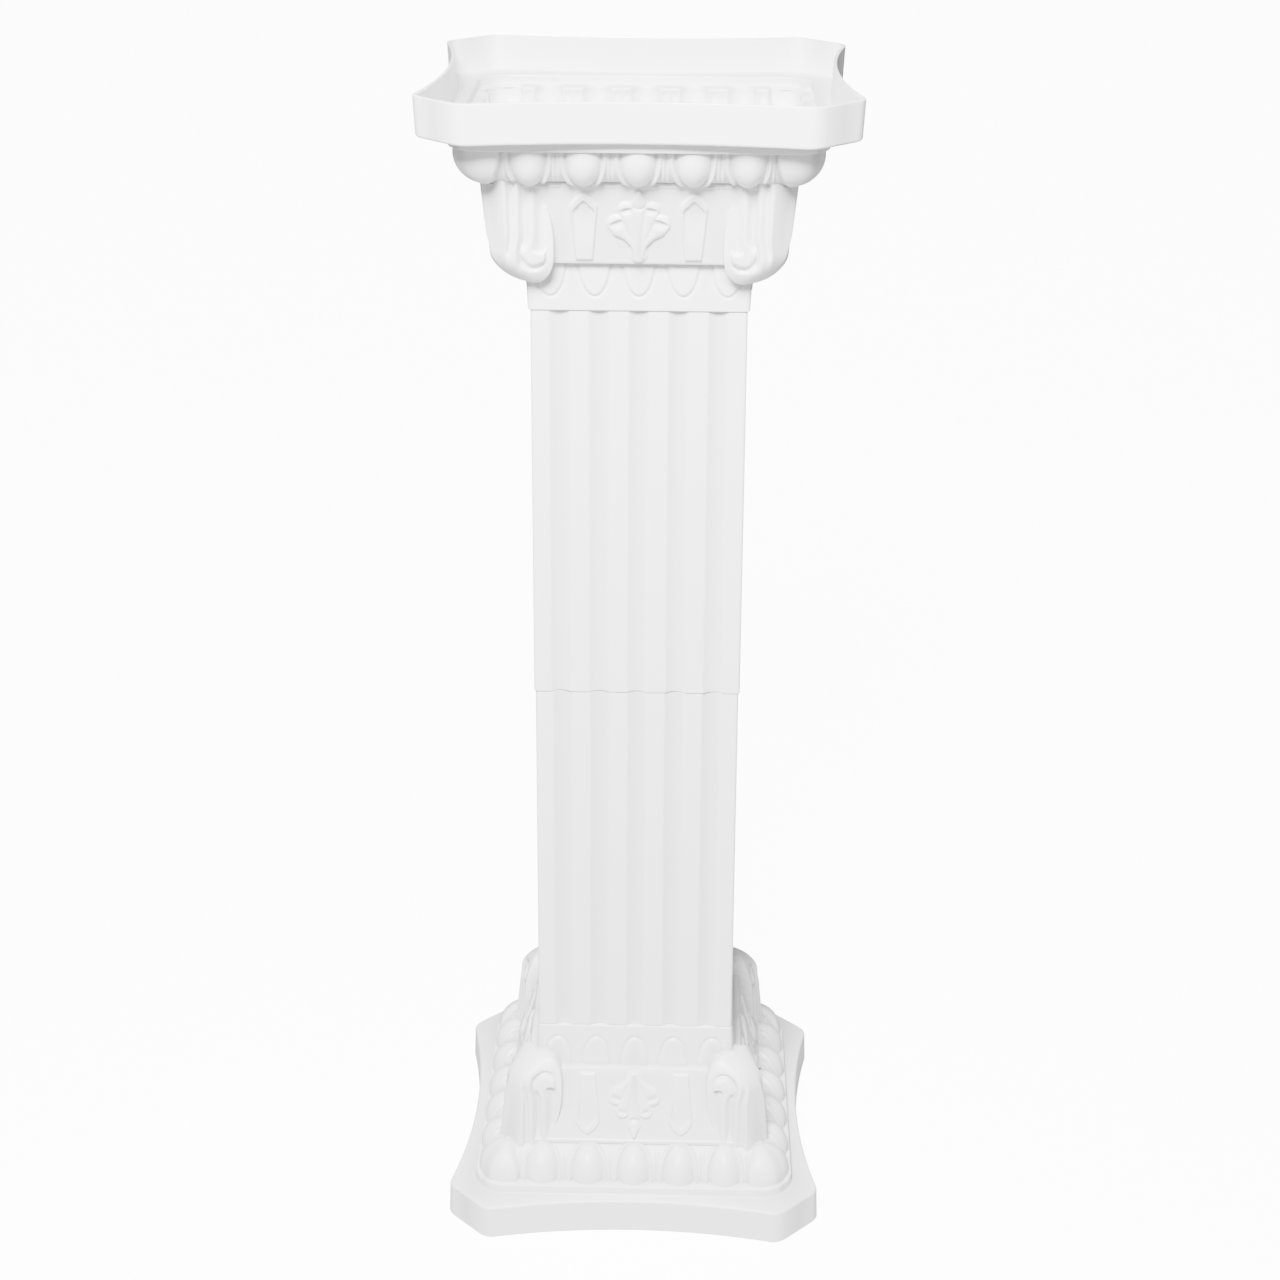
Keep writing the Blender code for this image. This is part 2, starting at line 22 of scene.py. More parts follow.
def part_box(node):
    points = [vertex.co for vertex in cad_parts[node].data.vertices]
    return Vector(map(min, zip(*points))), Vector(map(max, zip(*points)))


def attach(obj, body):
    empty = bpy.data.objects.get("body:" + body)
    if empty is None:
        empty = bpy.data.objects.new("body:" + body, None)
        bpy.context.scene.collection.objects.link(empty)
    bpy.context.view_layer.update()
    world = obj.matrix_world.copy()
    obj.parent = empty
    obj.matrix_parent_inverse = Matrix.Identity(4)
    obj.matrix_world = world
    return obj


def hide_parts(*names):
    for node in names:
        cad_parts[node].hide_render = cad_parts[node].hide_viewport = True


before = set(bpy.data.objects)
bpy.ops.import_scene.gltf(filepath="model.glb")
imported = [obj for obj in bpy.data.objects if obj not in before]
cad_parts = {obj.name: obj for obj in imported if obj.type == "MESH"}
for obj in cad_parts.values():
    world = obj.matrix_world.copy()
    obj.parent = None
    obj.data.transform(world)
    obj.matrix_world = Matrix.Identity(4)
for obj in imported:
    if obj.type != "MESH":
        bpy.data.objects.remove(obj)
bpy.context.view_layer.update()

MM = 0.001
BODY = "root"
# The hollowness attribute and its measure, which mask the shade painted into the relief's hollows.
HOLLOW = "hollow"
FULL_HOLLOW = 2.0
HOLLOW_PASSES = 3
HOLLOW_REACHES = (1, 2, 3)
EDGE_ROWS = 4
NEARLY_NONE = 1e-9
LEAST_SLOPE = 1e-6
Row = tuple[np.ndarray, np.ndarray]

logging.basicConfig(level=logging.INFO, format="%(message)s")
log = logging.getLogger("pillar_stand")


class Stance(Enum):
    """Which way up an end moulding stands."""

    UPRIGHT = "upright"
    TURNED_OVER = "turned over"


def ease(value: np.ndarray, start: float, end: float) -> np.ndarray:
    """A smooth step.

    Args:
        value: where to take the step.
        start: the value at which the step starts from 0.
        end: the value at which it has reached 1.

    Returns:
        The step, from 0 to 1.
    """
    share = np.clip((value - start) / (end - start), 0.0, 1.0)
    return share * share * (3.0 - 2.0 * share)


def blend_max(first: np.ndarray, second: np.ndarray, soft: float) -> np.ndarray:
    """The larger of two surfaces with a rounded crease between them.

    Args:
        first: one surface.
        second: the other surface.
        soft: how far apart they may be and still blend.

    Returns:
        The joined surface.
    """
    share = np.clip(0.5 + 0.5 * (first - second) / soft, 0.0, 1.0)
    return second * (1.0 - share) + first * share + soft * share * (1.0 - share)


def blend_min(first: np.ndarray, second: np.ndarray, soft: float) -> np.ndarray:
    """The smaller of two surfaces with a rounded edge between them.

    Args:
        first: one surface.
        second: the other surface.
        soft: how far apart they may be and still blend.

    Returns:
        The joined surface.
    """
    return -blend_max(-first, -second, soft)


def corner_place(lateral: np.ndarray, depth: np.ndarray) -> float:
    """The lateral at which a row of depths first meets the corner diagonal.

    Args:
        lateral: the row's laterals, evenly spaced.
        depth: its depths.

    Returns:
        The place where the depth equals the lateral.
    """
    after = max(int(np.nonzero(depth <= lateral)[0][0]), 1)
    above = depth[after - 1] - lateral[after - 1]
    below = depth[after] - lateral[after]
    return float(lateral[after - 1] + above / (above - below) * (lateral[after] - lateral[after - 1]))


def wave(value: np.ndarray, places: tuple[float, ...], heights: tuple[float, ...]) -> np.ndarray:
    """A rolling profile that is level at each of its knots.

    Args:
        value: where to read the profile.
        places: the knots, in rising order.
        heights: the profile's height at each knot.

    Returns:
        The heights, with half a cosine wave between knots.
    """
    spots = np.asarray(places, float)
    levels = np.asarray(heights, float)
    index = np.clip(np.searchsorted(spots, value) - 1, 0, len(spots) - 2)
    share = np.clip((value - spots[index]) / (spots[index + 1] - spots[index]), 0.0, 1.0)
    return levels[index] + (levels[index + 1] - levels[index]) * (1.0 - np.cos(np.pi * share)) / 2.0


def square_depth(lateral: np.ndarray, half: np.ndarray, radius: np.ndarray) -> np.ndarray:
    """The depth of a square with rounded corners, up to its diagonal.

    Args:
        lateral: places along the face.
        half: half the square's width.
        radius: its corner radius.

    Returns:
        The depth at each place, and nothing past the corner.
    """
    over = np.clip(lateral - (half - radius), 0.0, None)
    return half - radius + np.sqrt(np.clip(radius**2 - over**2, 0.0, None))


def quarter_turn(count: int) -> np.ndarray:
    """Evenly spaced angles over a quarter turn, for the rows of a rounded edge."""
    return np.linspace(0.0, math.pi / 2, count)


def level_row(fine: np.ndarray, depth: np.ndarray, level: np.ndarray | float) -> Row:
    """One row of a skin's table.

    Args:
        fine: the table's places along the face.
        depth: the depth at each.
        level: the height at each, or the one that they share.

    Returns:
        The depths and the levels, one for each place.
    """
    return np.broadcast_to(depth, fine.shape).copy(), np.broadcast_to(level, fine.shape).copy()


def polygon_inside(
    lateral: np.ndarray, level: np.ndarray, corners: list[tuple[float, float]]
) -> np.ndarray:
    """How far inside a polygon each point lies.

    Args:
        lateral: the points' places along the face.
        level: the points' heights.
        corners: the polygon, in (lateral, level) points.

    Returns:
        The distance to the nearest edge, positive inside and negative outside.
    """
    nearest = np.full(np.broadcast(lateral, level).shape, np.inf)
    inside = np.zeros(nearest.shape, bool)
    for (x1, y1), (x2, y2) in zip(corners, corners[1:] + corners[:1]):
        dx, dy = x2 - x1, y2 - y1
        share = np.clip(((lateral - x1) * dx + (level - y1) * dy) / (dx * dx + dy * dy), 0.0, 1.0)
        nearest = np.minimum(nearest, np.hypot(lateral - x1 - share * dx, level - y1 - share * dy))
        if dy != 0.0:
            crossing = (y1 > level) != (y2 > level)
            inside ^= crossing & (lateral < x1 + (level - y1) * dx / dy)
    return np.where(inside, nearest, -nearest)


def bead(
    lateral: np.ndarray, level: np.ndarray, path: tuple[tuple[float, float, float], ...]
) -> np.ndarray:
    """A rounded bead along a path, as a share of its full height.

    Args:
        lateral: places along the face.
        level: their heights.
        path: the bead's (lateral, level, radius) points, from one end to the other.

    Returns:
        1 along the path, falling in a quarter circle to 0 at the bead's edge.
    """
    best = np.full(np.broadcast(lateral, level).shape, np.inf)
    for (x1, y1, r1), (x2, y2, r2) in zip(path, path[1:]):
        dx, dy = x2 - x1, y2 - y1
        share = np.clip(((lateral - x1) * dx + (level - y1) * dy) / (dx * dx + dy * dy), 0.0, 1.0)
        reach = np.hypot(lateral - x1 - share * dx, level - y1 - share * dy)
        best = np.minimum(best, reach / (r1 + (r2 - r1) * share))
    return np.sqrt(np.clip(1.0 - best**2, 0.0, None))


@dataclass(frozen=True)
class ScrollGroove:
    """A groove that curls under a scroll: part of an ellipse, deepest in its middle."""

    centre: tuple[float, float]
    half_width: float
    half_height: float
    breadth: float
    depth: float
    start: float
    end: float
    full_share: float = 0.45

    def distance(self, lateral: np.ndarray, level: np.ndarray) -> np.ndarray:
        """How far each place lies outside the hanging U that the groove is the foot of."""
        down = np.clip(level - self.centre[1], 0.0, None) / self.half_height
        return (np.hypot((lateral - self.centre[0]) / self.half_width, down) - 1.0) * self.half_width

    def depth_at(self, lateral: np.ndarray, level: np.ndarray) -> np.ndarray:
        """How deep the groove is cut.

        Args:
            lateral: places along the face.
            level: their heights.

        Returns:
            The depth of the cut at each place.
        """
        across = (lateral - self.centre[0]) / self.half_width
        down = (level - self.centre[1]) / self.half_height
        off = (np.hypot(across, down) - 1.0) * (self.half_width + self.half_height) / 2
        angle = np.degrees(np.arctan2(down, across))
        middle, half = (self.start + self.end) / 2, (self.end - self.start) / 2
        fade = 1.0 - ease(np.abs(angle - middle), half * self.full_share, half)
        return self.depth * fade * np.exp(-((off / self.breadth) ** 2))


@dataclass(frozen=True)
class Lobe:
    """A lobe of the palmette: a bead from its root to its tip, with a cup cut in behind the tip's lip."""

    relief: float
    path: tuple[tuple[float, float, float], ...]
    lip: float
    cup_half_width: float
    cup_length: float
    cup_depth: float = 0.9
    cup_bend: float = 0.9
    cup_edge: tuple[float, float] = (-0.6, 0.9)
    cup_fade_start: float = 1.0

    def relief_at(self, lateral: np.ndarray, level: np.ndarray) -> np.ndarray:
        """The lobe's rise above the panel.

        Args:
            lateral: places along the face.
            level: their heights.

        Returns:
            The height at each place.
        """
        body = self.relief * bead(lateral, level, self.path)
        (x1, y1, _), (x2, y2, _) = self.path[-2:]
        length = math.hypot(x2 - x1, y2 - y1)
        away_x, away_y = (x1 - x2) / length, (y1 - y2) / length
        start_x = x2 + away_x * (self.lip - y2) / away_y
        along = (lateral - start_x) * away_x + (level - self.lip) * away_y
        across = (lateral - start_x) * away_y - (level - self.lip) * away_x
        bend = along - (across / self.cup_half_width) ** 2 * self.cup_bend
        cup = ease(bend, *self.cup_edge) * (1.0 - ease(along, self.cup_fade_start, self.cup_length))
        cup *= np.exp(-((across / self.cup_half_width) ** 4))
        return body * (1.0 - self.cup_depth * cup)


@dataclass
class HalfFaceSkin:
    """A closed skin that is known over half a face: grids of lateral, depth and level, in millimetres."""

    name: str
    lateral: np.ndarray
    depth: np.ndarray
    level: np.ndarray
    # hollowness at each point, the mask for the painted shade
    hollow: np.ndarray
    triangles: int = 0
    weld: float = 1e-6
    sharp_angle: float = 42.0

    def half_mesh(self) -> bpy.types.Mesh:
        """The half face's mesh in metres, thinned to its share of the triangles.

        Returns:
            The mesh, with the middle line on X = 0 and the corner line on the diagonal.
        """
        rows, columns = self.lateral.shape
        points = np.stack([self.lateral, -self.depth, self.level], axis=-1).reshape(-1, 3) * MM
        index = np.arange(rows * columns).reshape(rows, columns)
        quads = np.stack([index[:-1, :-1], index[:-1, 1:], index[1:, 1:], index[1:, :-1]], axis=-1)
        mesh = bpy.data.meshes.new(self.name + "_half")
        mesh.from_pydata(points.tolist(), [], quads.reshape(-1, 4).tolist())
        work = bmesh.new()
        work.from_mesh(mesh)
        bmesh.ops.remove_doubles(work, verts=work.verts, dist=self.weld)
        bmesh.ops.triangulate(work, faces=work.faces)
        work.to_mesh(mesh)
        work.free()
        if self.triangles and len(mesh.polygons) > self.triangles:
            mesh = self.thinned(mesh)
        return mesh

    def thinned(self, mesh: bpy.types.Mesh) -> bpy.types.Mesh:
        """A copy of the mesh with fewer triangles where the skin is plain.

        Args:
            mesh: the fine half face.

        Returns:
            The thinned mesh, its seams put back on the middle line and the diagonal.
        """
        thing = bpy.data.objects.new(self.name + "_thin", mesh)
        bpy.context.scene.collection.objects.link(thing)
        thin = thing.modifiers.new("thin", "DECIMATE")
        thin.ratio = self.triangles / len(mesh.polygons)
        graph = bpy.context.evaluated_depsgraph_get()
        result = bpy.data.meshes.new_from_object(thing.evaluated_get(graph))
        bpy.data.objects.remove(thing)
        work = bmesh.new()
        work.from_mesh(result)
        for edge in work.edges:
            if len(edge.link_faces) == 1:
                for vertex in edge.verts:
                    x, y = vertex.co.x, vertex.co.y
                    if abs(x) < abs(x + y):
                        vertex.co.x = 0.0
                    else:
                        half = (x - y) / 2
                        vertex.co.x, vertex.co.y = half, -half
        work.to_mesh(result)
        work.free()
        return result

    def whole_object(self) -> bpy.types.Object:
        """The whole moulding: the half face mirrored, turned round four times and sewn together.

        Returns:
            The object, linked to the scene, with its hollowness kept in an attribute as the mask for the
            painted shade.
        """
        half = self.half_mesh()
        points = np.zeros(len(half.vertices) * 3)
        half.vertices.foreach_get("co", points)
        points = points.reshape(-1, 3)
        faces = np.array([face.vertices[:] for face in half.polygons])
        all_points, all_faces = [], []
        for quarter in range(4):
            cos, sin = round(math.cos(quarter * math.pi / 2)), round(math.sin(quarter * math.pi / 2))
            for side in (1, -1):
                x, y = points[:, 0] * side, points[:, 1]
                turned = np.stack([x * cos - y * sin, x * sin + y * cos, points[:, 2]], axis=-1)
                start = len(all_points) * len(points)
                all_points.append(turned)
                all_faces.append(faces[:, ::side] + start)
        mesh = bpy.data.meshes.new(self.name)
        mesh.from_pydata(np.concatenate(all_points).tolist(), [], np.concatenate(all_faces).tolist())
        work = bmesh.new()
        work.from_mesh(mesh)
        bmesh.ops.remove_doubles(work, verts=work.verts, dist=self.weld)
        bmesh.ops.dissolve_degenerate(work, edges=work.edges, dist=self.weld)
        bmesh.ops.recalc_face_normals(work, faces=work.faces)
        work.to_mesh(mesh)
        work.free()
        mesh.shade_smooth()
        mesh.set_sharp_from_angle(angle=math.radians(self.sharp_angle))
        self.write_hollow(mesh)
        thing = bpy.data.objects.new(self.name, mesh)
        bpy.context.scene.collection.objects.link(thing)
        even = thing.modifiers.new("even_normals", "WEIGHTED_NORMAL")
        even.keep_sharp = True
        return thing

    def write_hollow(self, mesh: bpy.types.Mesh) -> None:
        """Copies the grid's hollowness, the mask for the painted shade, to the mesh's points, from the
        nearest point of the grid.

        Args:
            mesh: the whole moulding's mesh, before it is moved.
        """
        count = self.lateral.size
        tree = kdtree.KDTree(count)
        grid = np.stack([self.lateral, -self.depth, self.level], axis=-1).reshape(-1, 3) * MM
        for index, point in enumerate(grid):
            tree.insert(point, index)
        tree.balance()
        values = self.hollow.reshape(-1)
        attribute = mesh.attributes.new(HOLLOW, "FLOAT", "POINT")
        found = np.zeros(len(mesh.vertices), np.float32)
        for index, vertex in enumerate(mesh.vertices):
            across, deep = sorted((abs(vertex.co.x), abs(vertex.co.y)))
            found[index] = values[tree.find((across, -deep, vertex.co.z))[1]]
        attribute.data.foreach_set("value", found)


@dataclass(frozen=True)
class Slab:
    """The slab at the open end: hollow-curved sides between cut-off corners."""

    half: float = 146.3
    height: float = 27.0
    chamfer: float = 32.6
    sagitta: float = 13.0
    corner_soft: float = 8.0
    draft: float = 1.2
    edge: float = 2.0
    rim_edge: float = 0.8
    side_start: float = 2.3
    side_rows: int = 9
    edge_rows: int = 7

    def depth_at(self, lateral: np.ndarray, inset: np.ndarray | float) -> np.ndarray:
        """The slab's plan.

        Args:
            lateral: places along the face.
            inset: how far the outline is set in from the slab's rim.

        Returns:
            The depth of the side at each place.
        """
        half = self.half - inset
        diagonal = 2 * self.half - self.chamfer - inset * math.sqrt(2)
        radius = ((diagonal - half) ** 2 + self.sagitta**2) / (2 * self.sagitta)
        rise = np.sqrt(np.clip(radius**2 - lateral**2, 0.0, None)) - (radius - self.sagitta)
        return blend_min(half - rise, diagonal - lateral, self.corner_soft)

    def drafted(self, level: np.ndarray | float) -> np.ndarray | float:
        """How far the draft sets the side in at a level."""
        return self.draft * level / self.height

    def rows(self, fine: np.ndarray) -> list[Row]:
        """The slab's rows, from the rounded rim up the side and over the outer edge.

        Args:
            fine: evenly spaced places along the face.

        Returns:
            The rows, in order along the profile.
        """
        made = []
        for turn in quarter_turn(EDGE_ROWS):
            inset = self.rim_edge * (1.0 - math.sin(turn))
            level = self.rim_edge * (1.0 - math.cos(turn))
            made.append(level_row(fine, self.depth_at(fine, inset), level))
        side_end = self.height - self.edge
        for level in np.linspace(self.side_start, side_end, self.side_rows):
            made.append(level_row(fine, self.depth_at(fine, self.drafted(level)), level))
        for turn in quarter_turn(self.edge_rows)[1:]:
            inset = self.draft + self.edge * (1.0 - math.cos(turn))
            level = side_end + self.edge * math.sin(turn)
            made.append(level_row(fine, self.depth_at(fine, inset), level))
        return made


@dataclass(frozen=True)
class Profile:
    """An end moulding's plain outline past its slab: levels above the open rim, and half widths."""

    band_half: float = 124.2
    band_radius: float = 25.0
    band_edge: float = 1.0
    ovolo_level: float = 34.0
    ovolo_foot_half: float = 115.0
    ovolo_height: float = 23.2
    ovolo_projection: float = 15.0
    fillet_level: float = 57.2
    fillet_soft: float = 0.9
    fillet_clear: float = 1.0
    fillet_foot: float = 0.6
    bell_level: float = 61.2
    bell_head_half: float = 100.0
    bell_foot_half: float = 83.6
    bell_hollow: float = 0.7
    bell_radius: float = 14.0
    ledge_level: float = 115.7
    ledge_edge: float = 0.8
    ledge_radius: float = 6.0
    neck_half: float = 77.2
    neck_end_half: float = 75.5
    neck_end: float = 150.0
    neck_edge: float = 0.8
    neck_radius: float = 3.0
    spigot_half: float = 67.7
    spigot_height: float = 12.0
    spigot_radius: float = 4.0
    spigot_edge: float = 0.8

    def ovolo_radius(self, cosine: np.ndarray | float) -> np.ndarray | float:
        """The corner radius of the quarter-round, which shrinks from the band's to the bell's."""
        return self.bell_radius + (self.band_radius - self.bell_radius) * cosine

    def bell_depth(self, level: np.ndarray | float) -> np.ndarray:
        """The panel between the brackets: a straight flare with a slight hollow in it.

        Args:
            level: heights above the open rim.

        Returns:
            The depth of the panel at each.
        """
        share = np.clip((level - self.bell_level) / (self.ledge_level - self.bell_level), 0.0, 1.0)
        flare = self.bell_head_half + (self.bell_foot_half - self.bell_head_half) * share
        return flare - self.bell_hollow * 4.0 * share * (1.0 - share)

    def neck_depth(self, level: np.ndarray | float) -> np.ndarray | float:
        """The neck's face, which narrows towards the shaft."""
        share = (level - self.ledge_level) / (self.neck_end - self.ledge_level)
        return self.neck_half + (self.neck_end_half - self.neck_half) * share


@dataclass(frozen=True)
class EggRow:
    """The egg-and-dart row: eggs in shells with darts between them, and a large egg round each corner."""

    pitch: float = 35.6
    per_side: int = 2
    level: float = 38.0
    half_width: float = 14.6
    half_height: float = 21.2
    root: float = 104.5
    half_depth: float = 17.8
    taper: float = 0.08
    corner_centre: float = 98.5
    corner_radius: float = 23.0
    corner_notch: float = 7.0
    corner_curl: float = 8.0
    corner_side: tuple[float, float] = (86.6, 91.5)
    shell_half_width: float = 14.0
    shell_height: float = 24.0
    shell_start: float = 6.0
    shell_relief: float = 2.9
    shell_rim: float = 1.7
    dart_offset: float = 1.5
    dart_width: float = 1.0
    dart_relief: float = 1.5
    dart_fade: tuple[float, float] = (21.0, 27.0)
    relief_end: tuple[float, float] = (88.0, 90.5)

    def depth_at(self, lateral: np.ndarray, level: np.ndarray) -> np.ndarray:
        """The eggs of the row and the large one that wraps the corner.

        Args:
            lateral: places along the face.
            level: their heights.

        Returns:
            The depth of the eggs' faces, and 0 or less between them.
        """
        along = (level - self.level) / self.half_height
        width = self.half_width * (1.0 - self.taper * np.clip(along, 0.0, 1.0))
        middle = np.round(lateral / self.pitch) * self.pitch
        middle = np.minimum(middle, self.per_side * self.pitch)
        bulge = 1.0 - ((lateral - middle) / width) ** 2 - along**2
        swell = self.half_depth * np.sqrt(np.clip(bulge, 0.0, None))
        eggs = np.where(bulge > 0.0, self.root + swell, 0.0)
        radius2 = self.corner_radius**2 * np.clip(1.0 - along**2, 0.0, None)
        over = radius2 - (lateral - self.corner_centre) ** 2
        corner = np.where(over > 0.0, self.corner_centre + np.sqrt(np.clip(over, 0.0, None)), 0.0)
        edge = lateral - self.corner_curl * along**2
        corner = corner - self.corner_notch * (1.0 - ease(edge, *self.corner_side))
        return np.maximum(eggs, corner)

    def relief_at(self, lateral: np.ndarray, run: np.ndarray) -> np.ndarray:
        """The shells round the eggs and the darts between them, raised off the quarter-round.

        Args:
            lateral: places along the face.
            run: how far along the quarter-round they are, from its foot.

        Returns:
            The relief at each place.
        """
        middle = np.minimum(np.round(lateral / self.pitch), self.per_side) * self.pitch
        across = (lateral - middle) / self.shell_half_width
        up = np.clip(run - self.shell_start, 0.0, None) / self.shell_height
        round_way = np.hypot(across, up) + NEARLY_NONE
        slope = np.hypot(across / self.shell_half_width, up / self.shell_height) / round_way
        off_rim = (round_way - 1.0) / np.maximum(slope, LEAST_SLOPE)
        shell = self.shell_relief * np.exp(-((off_rim / self.shell_rim) ** 2))
        beside = np.abs(lateral - middle) - self.pitch / 2
        off_dart = (np.abs(beside) - self.dart_offset) / self.dart_width
        dart = self.dart_relief * np.exp(-(off_dart**2))
        dart *= 1.0 - ease(run, *self.dart_fade)
        clear_of_corner = 1.0 - ease(lateral, *self.relief_end)
        return np.maximum(shell, dart) * clear_of_corner


@dataclass(frozen=True)
class Bracket:
    """A corner bracket: a chamfered block with a ribbed face that ends in a scroll."""

    half: float = 105.8
    draft: float = 3.3
    chamfer: float = 17.3
    edge_soft: float = 2.6
    turn_soft: float = 7.0
    turn_soft_levels: tuple[float, float] = (103.0, 122.0)
    turn_level: float = 105.0
    turn_power: float = 2.0
    end: float = 131.5
    face_reach: tuple[float, float] = (50.0, 88.0)
    rib_places: tuple[float, ...] = (50.0, 58.2, 64.4, 70.2, 75.4, 79.8, 84.2, 88.0)
    rib_steps: tuple[float, ...] = (-13.0, -7.4, -8.8, -4.2, -7.9, -2.2, -4.9, 0.0)
    spread: float = 2.2
    spread_levels: tuple[float, float] = (93.0, 107.0)
    spread_places: tuple[float, float] = (64.0, 70.0)
    leaf_levels: tuple[float, ...] = (56.0, 60.0, 64.0, 68.0, 73.0, 78.0, 84.0, 92.0, 100.0)
    leaf_places: tuple[float, ...] = (66.6, 64.6, 62.8, 61.3, 59.7, 58.2, 56.7, 55.4, 55.0)
    leaf_edge: tuple[float, float] = (-0.6, 1.4)
    boss_step: float = -5.0
    boss_levels: tuple[float, float] = (99.0, 105.0)
    boss_edge: float = 1.0
    eye_edge: float = 1.6
    scroll_places: tuple[float, ...] = (50.0, 60.0, 66.0, 72.0, 78.0, 83.0, 88.0)
    scroll_steps: tuple[float, ...] = (-12.0, -7.6, -5.6, -4.6, -3.4, -1.6, 0.0)
    scroll_levels: tuple[float, float] = (103.0, 120.0)
    scroll_centre: tuple[float, float] = (72.0, 106.0)
    scroll_half_width: float = 17.0
    scroll_drop: float = 25.0
    scroll_power: float = 2.2
    round_boss: ScrollGroove = ScrollGroove(
        centre=(69.8, 107.2), half_width=8.2, half_height=9.6,
        breadth=1.7, depth=3.0, start=-12.0, end=158.0,
    )
    round_eye: ScrollGroove = ScrollGroove(
        centre=(65.2, 100.6), half_width=4.6, half_height=4.6,
        breadth=1.0, depth=1.0, start=30.0, end=140.0,
    )
    root_rise: float = 3.0
    deepest_sink: float = 1.0

    def depth_at(self, profile: Profile, lateral: np.ndarray, level: np.ndarray) -> np.ndarray:
        """The bracket's skin.

        Args:
            profile: the moulding's outline, which the bracket stands on.
            lateral: places along the face.
            level: their heights.

        Returns:
            The depth at each place, and 0 beside the bracket.
        """
        span = self.turn_level - profile.fillet_level
        face = self.half - self.draft * (level - profile.fillet_level) / span
        turn = np.clip((level - self.turn_level) / (self.end - self.turn_level), 0.0, 1.0)
        rounded = np.clip(1.0 - turn**self.turn_power, 0.0, 1.0) ** (1.0 / self.turn_power)
        neck = profile.neck_depth(level)
        face = neck + (face - neck) * rounded
        step = self.carving(lateral, level)
        carved = np.maximum(face + step * rounded, neck - self.deepest_sink)
        soft = self.edge_soft + self.turn_soft * ease(level, *self.turn_soft_levels)
        skin = blend_min(carved, 2 * face - self.chamfer - lateral, soft)
        present = self.presence(lateral, level)
        return np.where(level > profile.fillet_level - self.root_rise, skin * present, 0.0)

    def carving(self, lateral: np.ndarray, level: np.ndarray) -> np.ndarray:
        """How far the ribs, the boss and the scroll lie behind the bracket's outermost face.

        Args:
            lateral: places along the face.
            level: their heights.

        Returns:
            The step at each place, 0 or less.
        """
        spread = self.spread * ease(level, *self.spread_levels) * ease(lateral, *self.spread_places)
        ribbed = wave(np.clip(lateral - spread, *self.face_reach), self.rib_places, self.rib_steps)
        scroll = wave(np.clip(lateral, *self.face_reach), self.scroll_places, self.scroll_steps)
        boss = 1.0 - ease(self.round_boss.distance(lateral, level), -self.boss_edge, self.boss_edge)
        past_eye = ease(self.round_eye.distance(lateral, level), -self.eye_edge, self.eye_edge)
        inner_share = boss * past_eye * ease(level, *self.boss_levels)
        outer_share = (1.0 - boss) * ease(level, *self.scroll_levels)
        step = ribbed + (self.boss_step - ribbed) * inner_share + (scroll - ribbed) * outer_share
        return step - self.round_boss.depth_at(lateral, level) - self.round_eye.depth_at(lateral, level)

    def presence(self, lateral: np.ndarray, level: np.ndarray) -> np.ndarray:
        """1 on the bracket and 0 beside it: a leaf that swells from under the eggs, then the scroll.

        Args:
            lateral: places along the face.
            level: their heights.

        Returns:
            The share at each place, with a steep edge.
        """
        middle, head = self.scroll_centre
        across = np.clip(middle - lateral, 0.0, None) / self.scroll_half_width
        below = np.clip(level - head, 0.0, None) / self.scroll_drop
        power = self.scroll_power
        outside = (across**power + below**power) ** (1 / power) - 1.0
        inner_edge = np.interp(level, self.leaf_levels, self.leaf_places)
        start, end = self.leaf_edge
        leaf = ease(lateral - inner_edge, start, end)
        scroll = 1.0 - ease(outside * self.scroll_half_width, -end, -start)
        return np.where(level < head, leaf, scroll)


@dataclass(frozen=True)
class Lancet:
    """The pointed leaf beside the palmette: a raised rim with a hollow below its point."""

    offset: float = 36.4
    relief: float = 2.0
    hollow: float = 2.1
    right_side: tuple[tuple[float, float], ...] = ((5.2, 68.4), (9.2, 74.0), (8.6, 82.0), (5.6, 112.6))
    point: float = 65.1
    edge: tuple[float, float] = (-0.9, 1.0)
    roof: float = 4.2
    roof_fall: float = 2.8
    roof_levels: tuple[float, float] = (73.0, 79.0)
    hollow_levels: tuple[float, float] = (77.0, 104.0)
    hollow_edge: tuple[float, float] = (-0.5, 1.5)

    def relief_at(self, lateral: np.ndarray, level: np.ndarray) -> np.ndarray:
        """The leaf's rise above the panel.

        Args:
            lateral: places along the face.
            level: their heights.

        Returns:
            The height at each place.
        """
        right = [(0.0, self.point), *self.right_side]
        left = [(-x, y) for x, y in reversed(self.right_side)]
        inside = polygon_inside(lateral, level, [(self.offset + x, y) for x, y in right + left])
        plate = ease(inside, *self.edge)
        roof = self.roof - self.roof_fall * ease(level, *self.roof_levels)
        deep = self.hollow * (1.0 - ease(level, *self.hollow_levels))
        floor = deep * ease(inside - roof, *self.hollow_edge)
        return self.relief * plate - floor


@dataclass(frozen=True)
class Palmette:
    """The five-lobed palmette in the middle of the panel: a tip, a stem and cupped lobes that mirror."""

    lobes: tuple[Lobe, ...]
    tip: tuple[tuple[float, float, float], ...] = ((0.0, 71.5, 5.4), (0.0, 64.6, 1.8))
    tip_relief: float = 3.0
    stem: tuple[tuple[float, float, float], ...] = ((0.0, 108.5, 6.6), (0.0, 100.0, 5.0))
    stem_relief: float = 1.9

    def relief_at(self, lateral: np.ndarray, level: np.ndarray) -> np.ndarray:
        """The palmette's rise above the panel.

        Args:
            lateral: places along the face.
            level: their heights.

        Returns:
            The height at each place.
        """
        height = self.stem_relief * bead(lateral, level, self.stem)
        height = np.maximum(height, self.tip_relief * bead(lateral, level, self.tip))
        for lobe in self.lobes:
            height = np.maximum(height, lobe.relief_at(lateral, level))
        return height


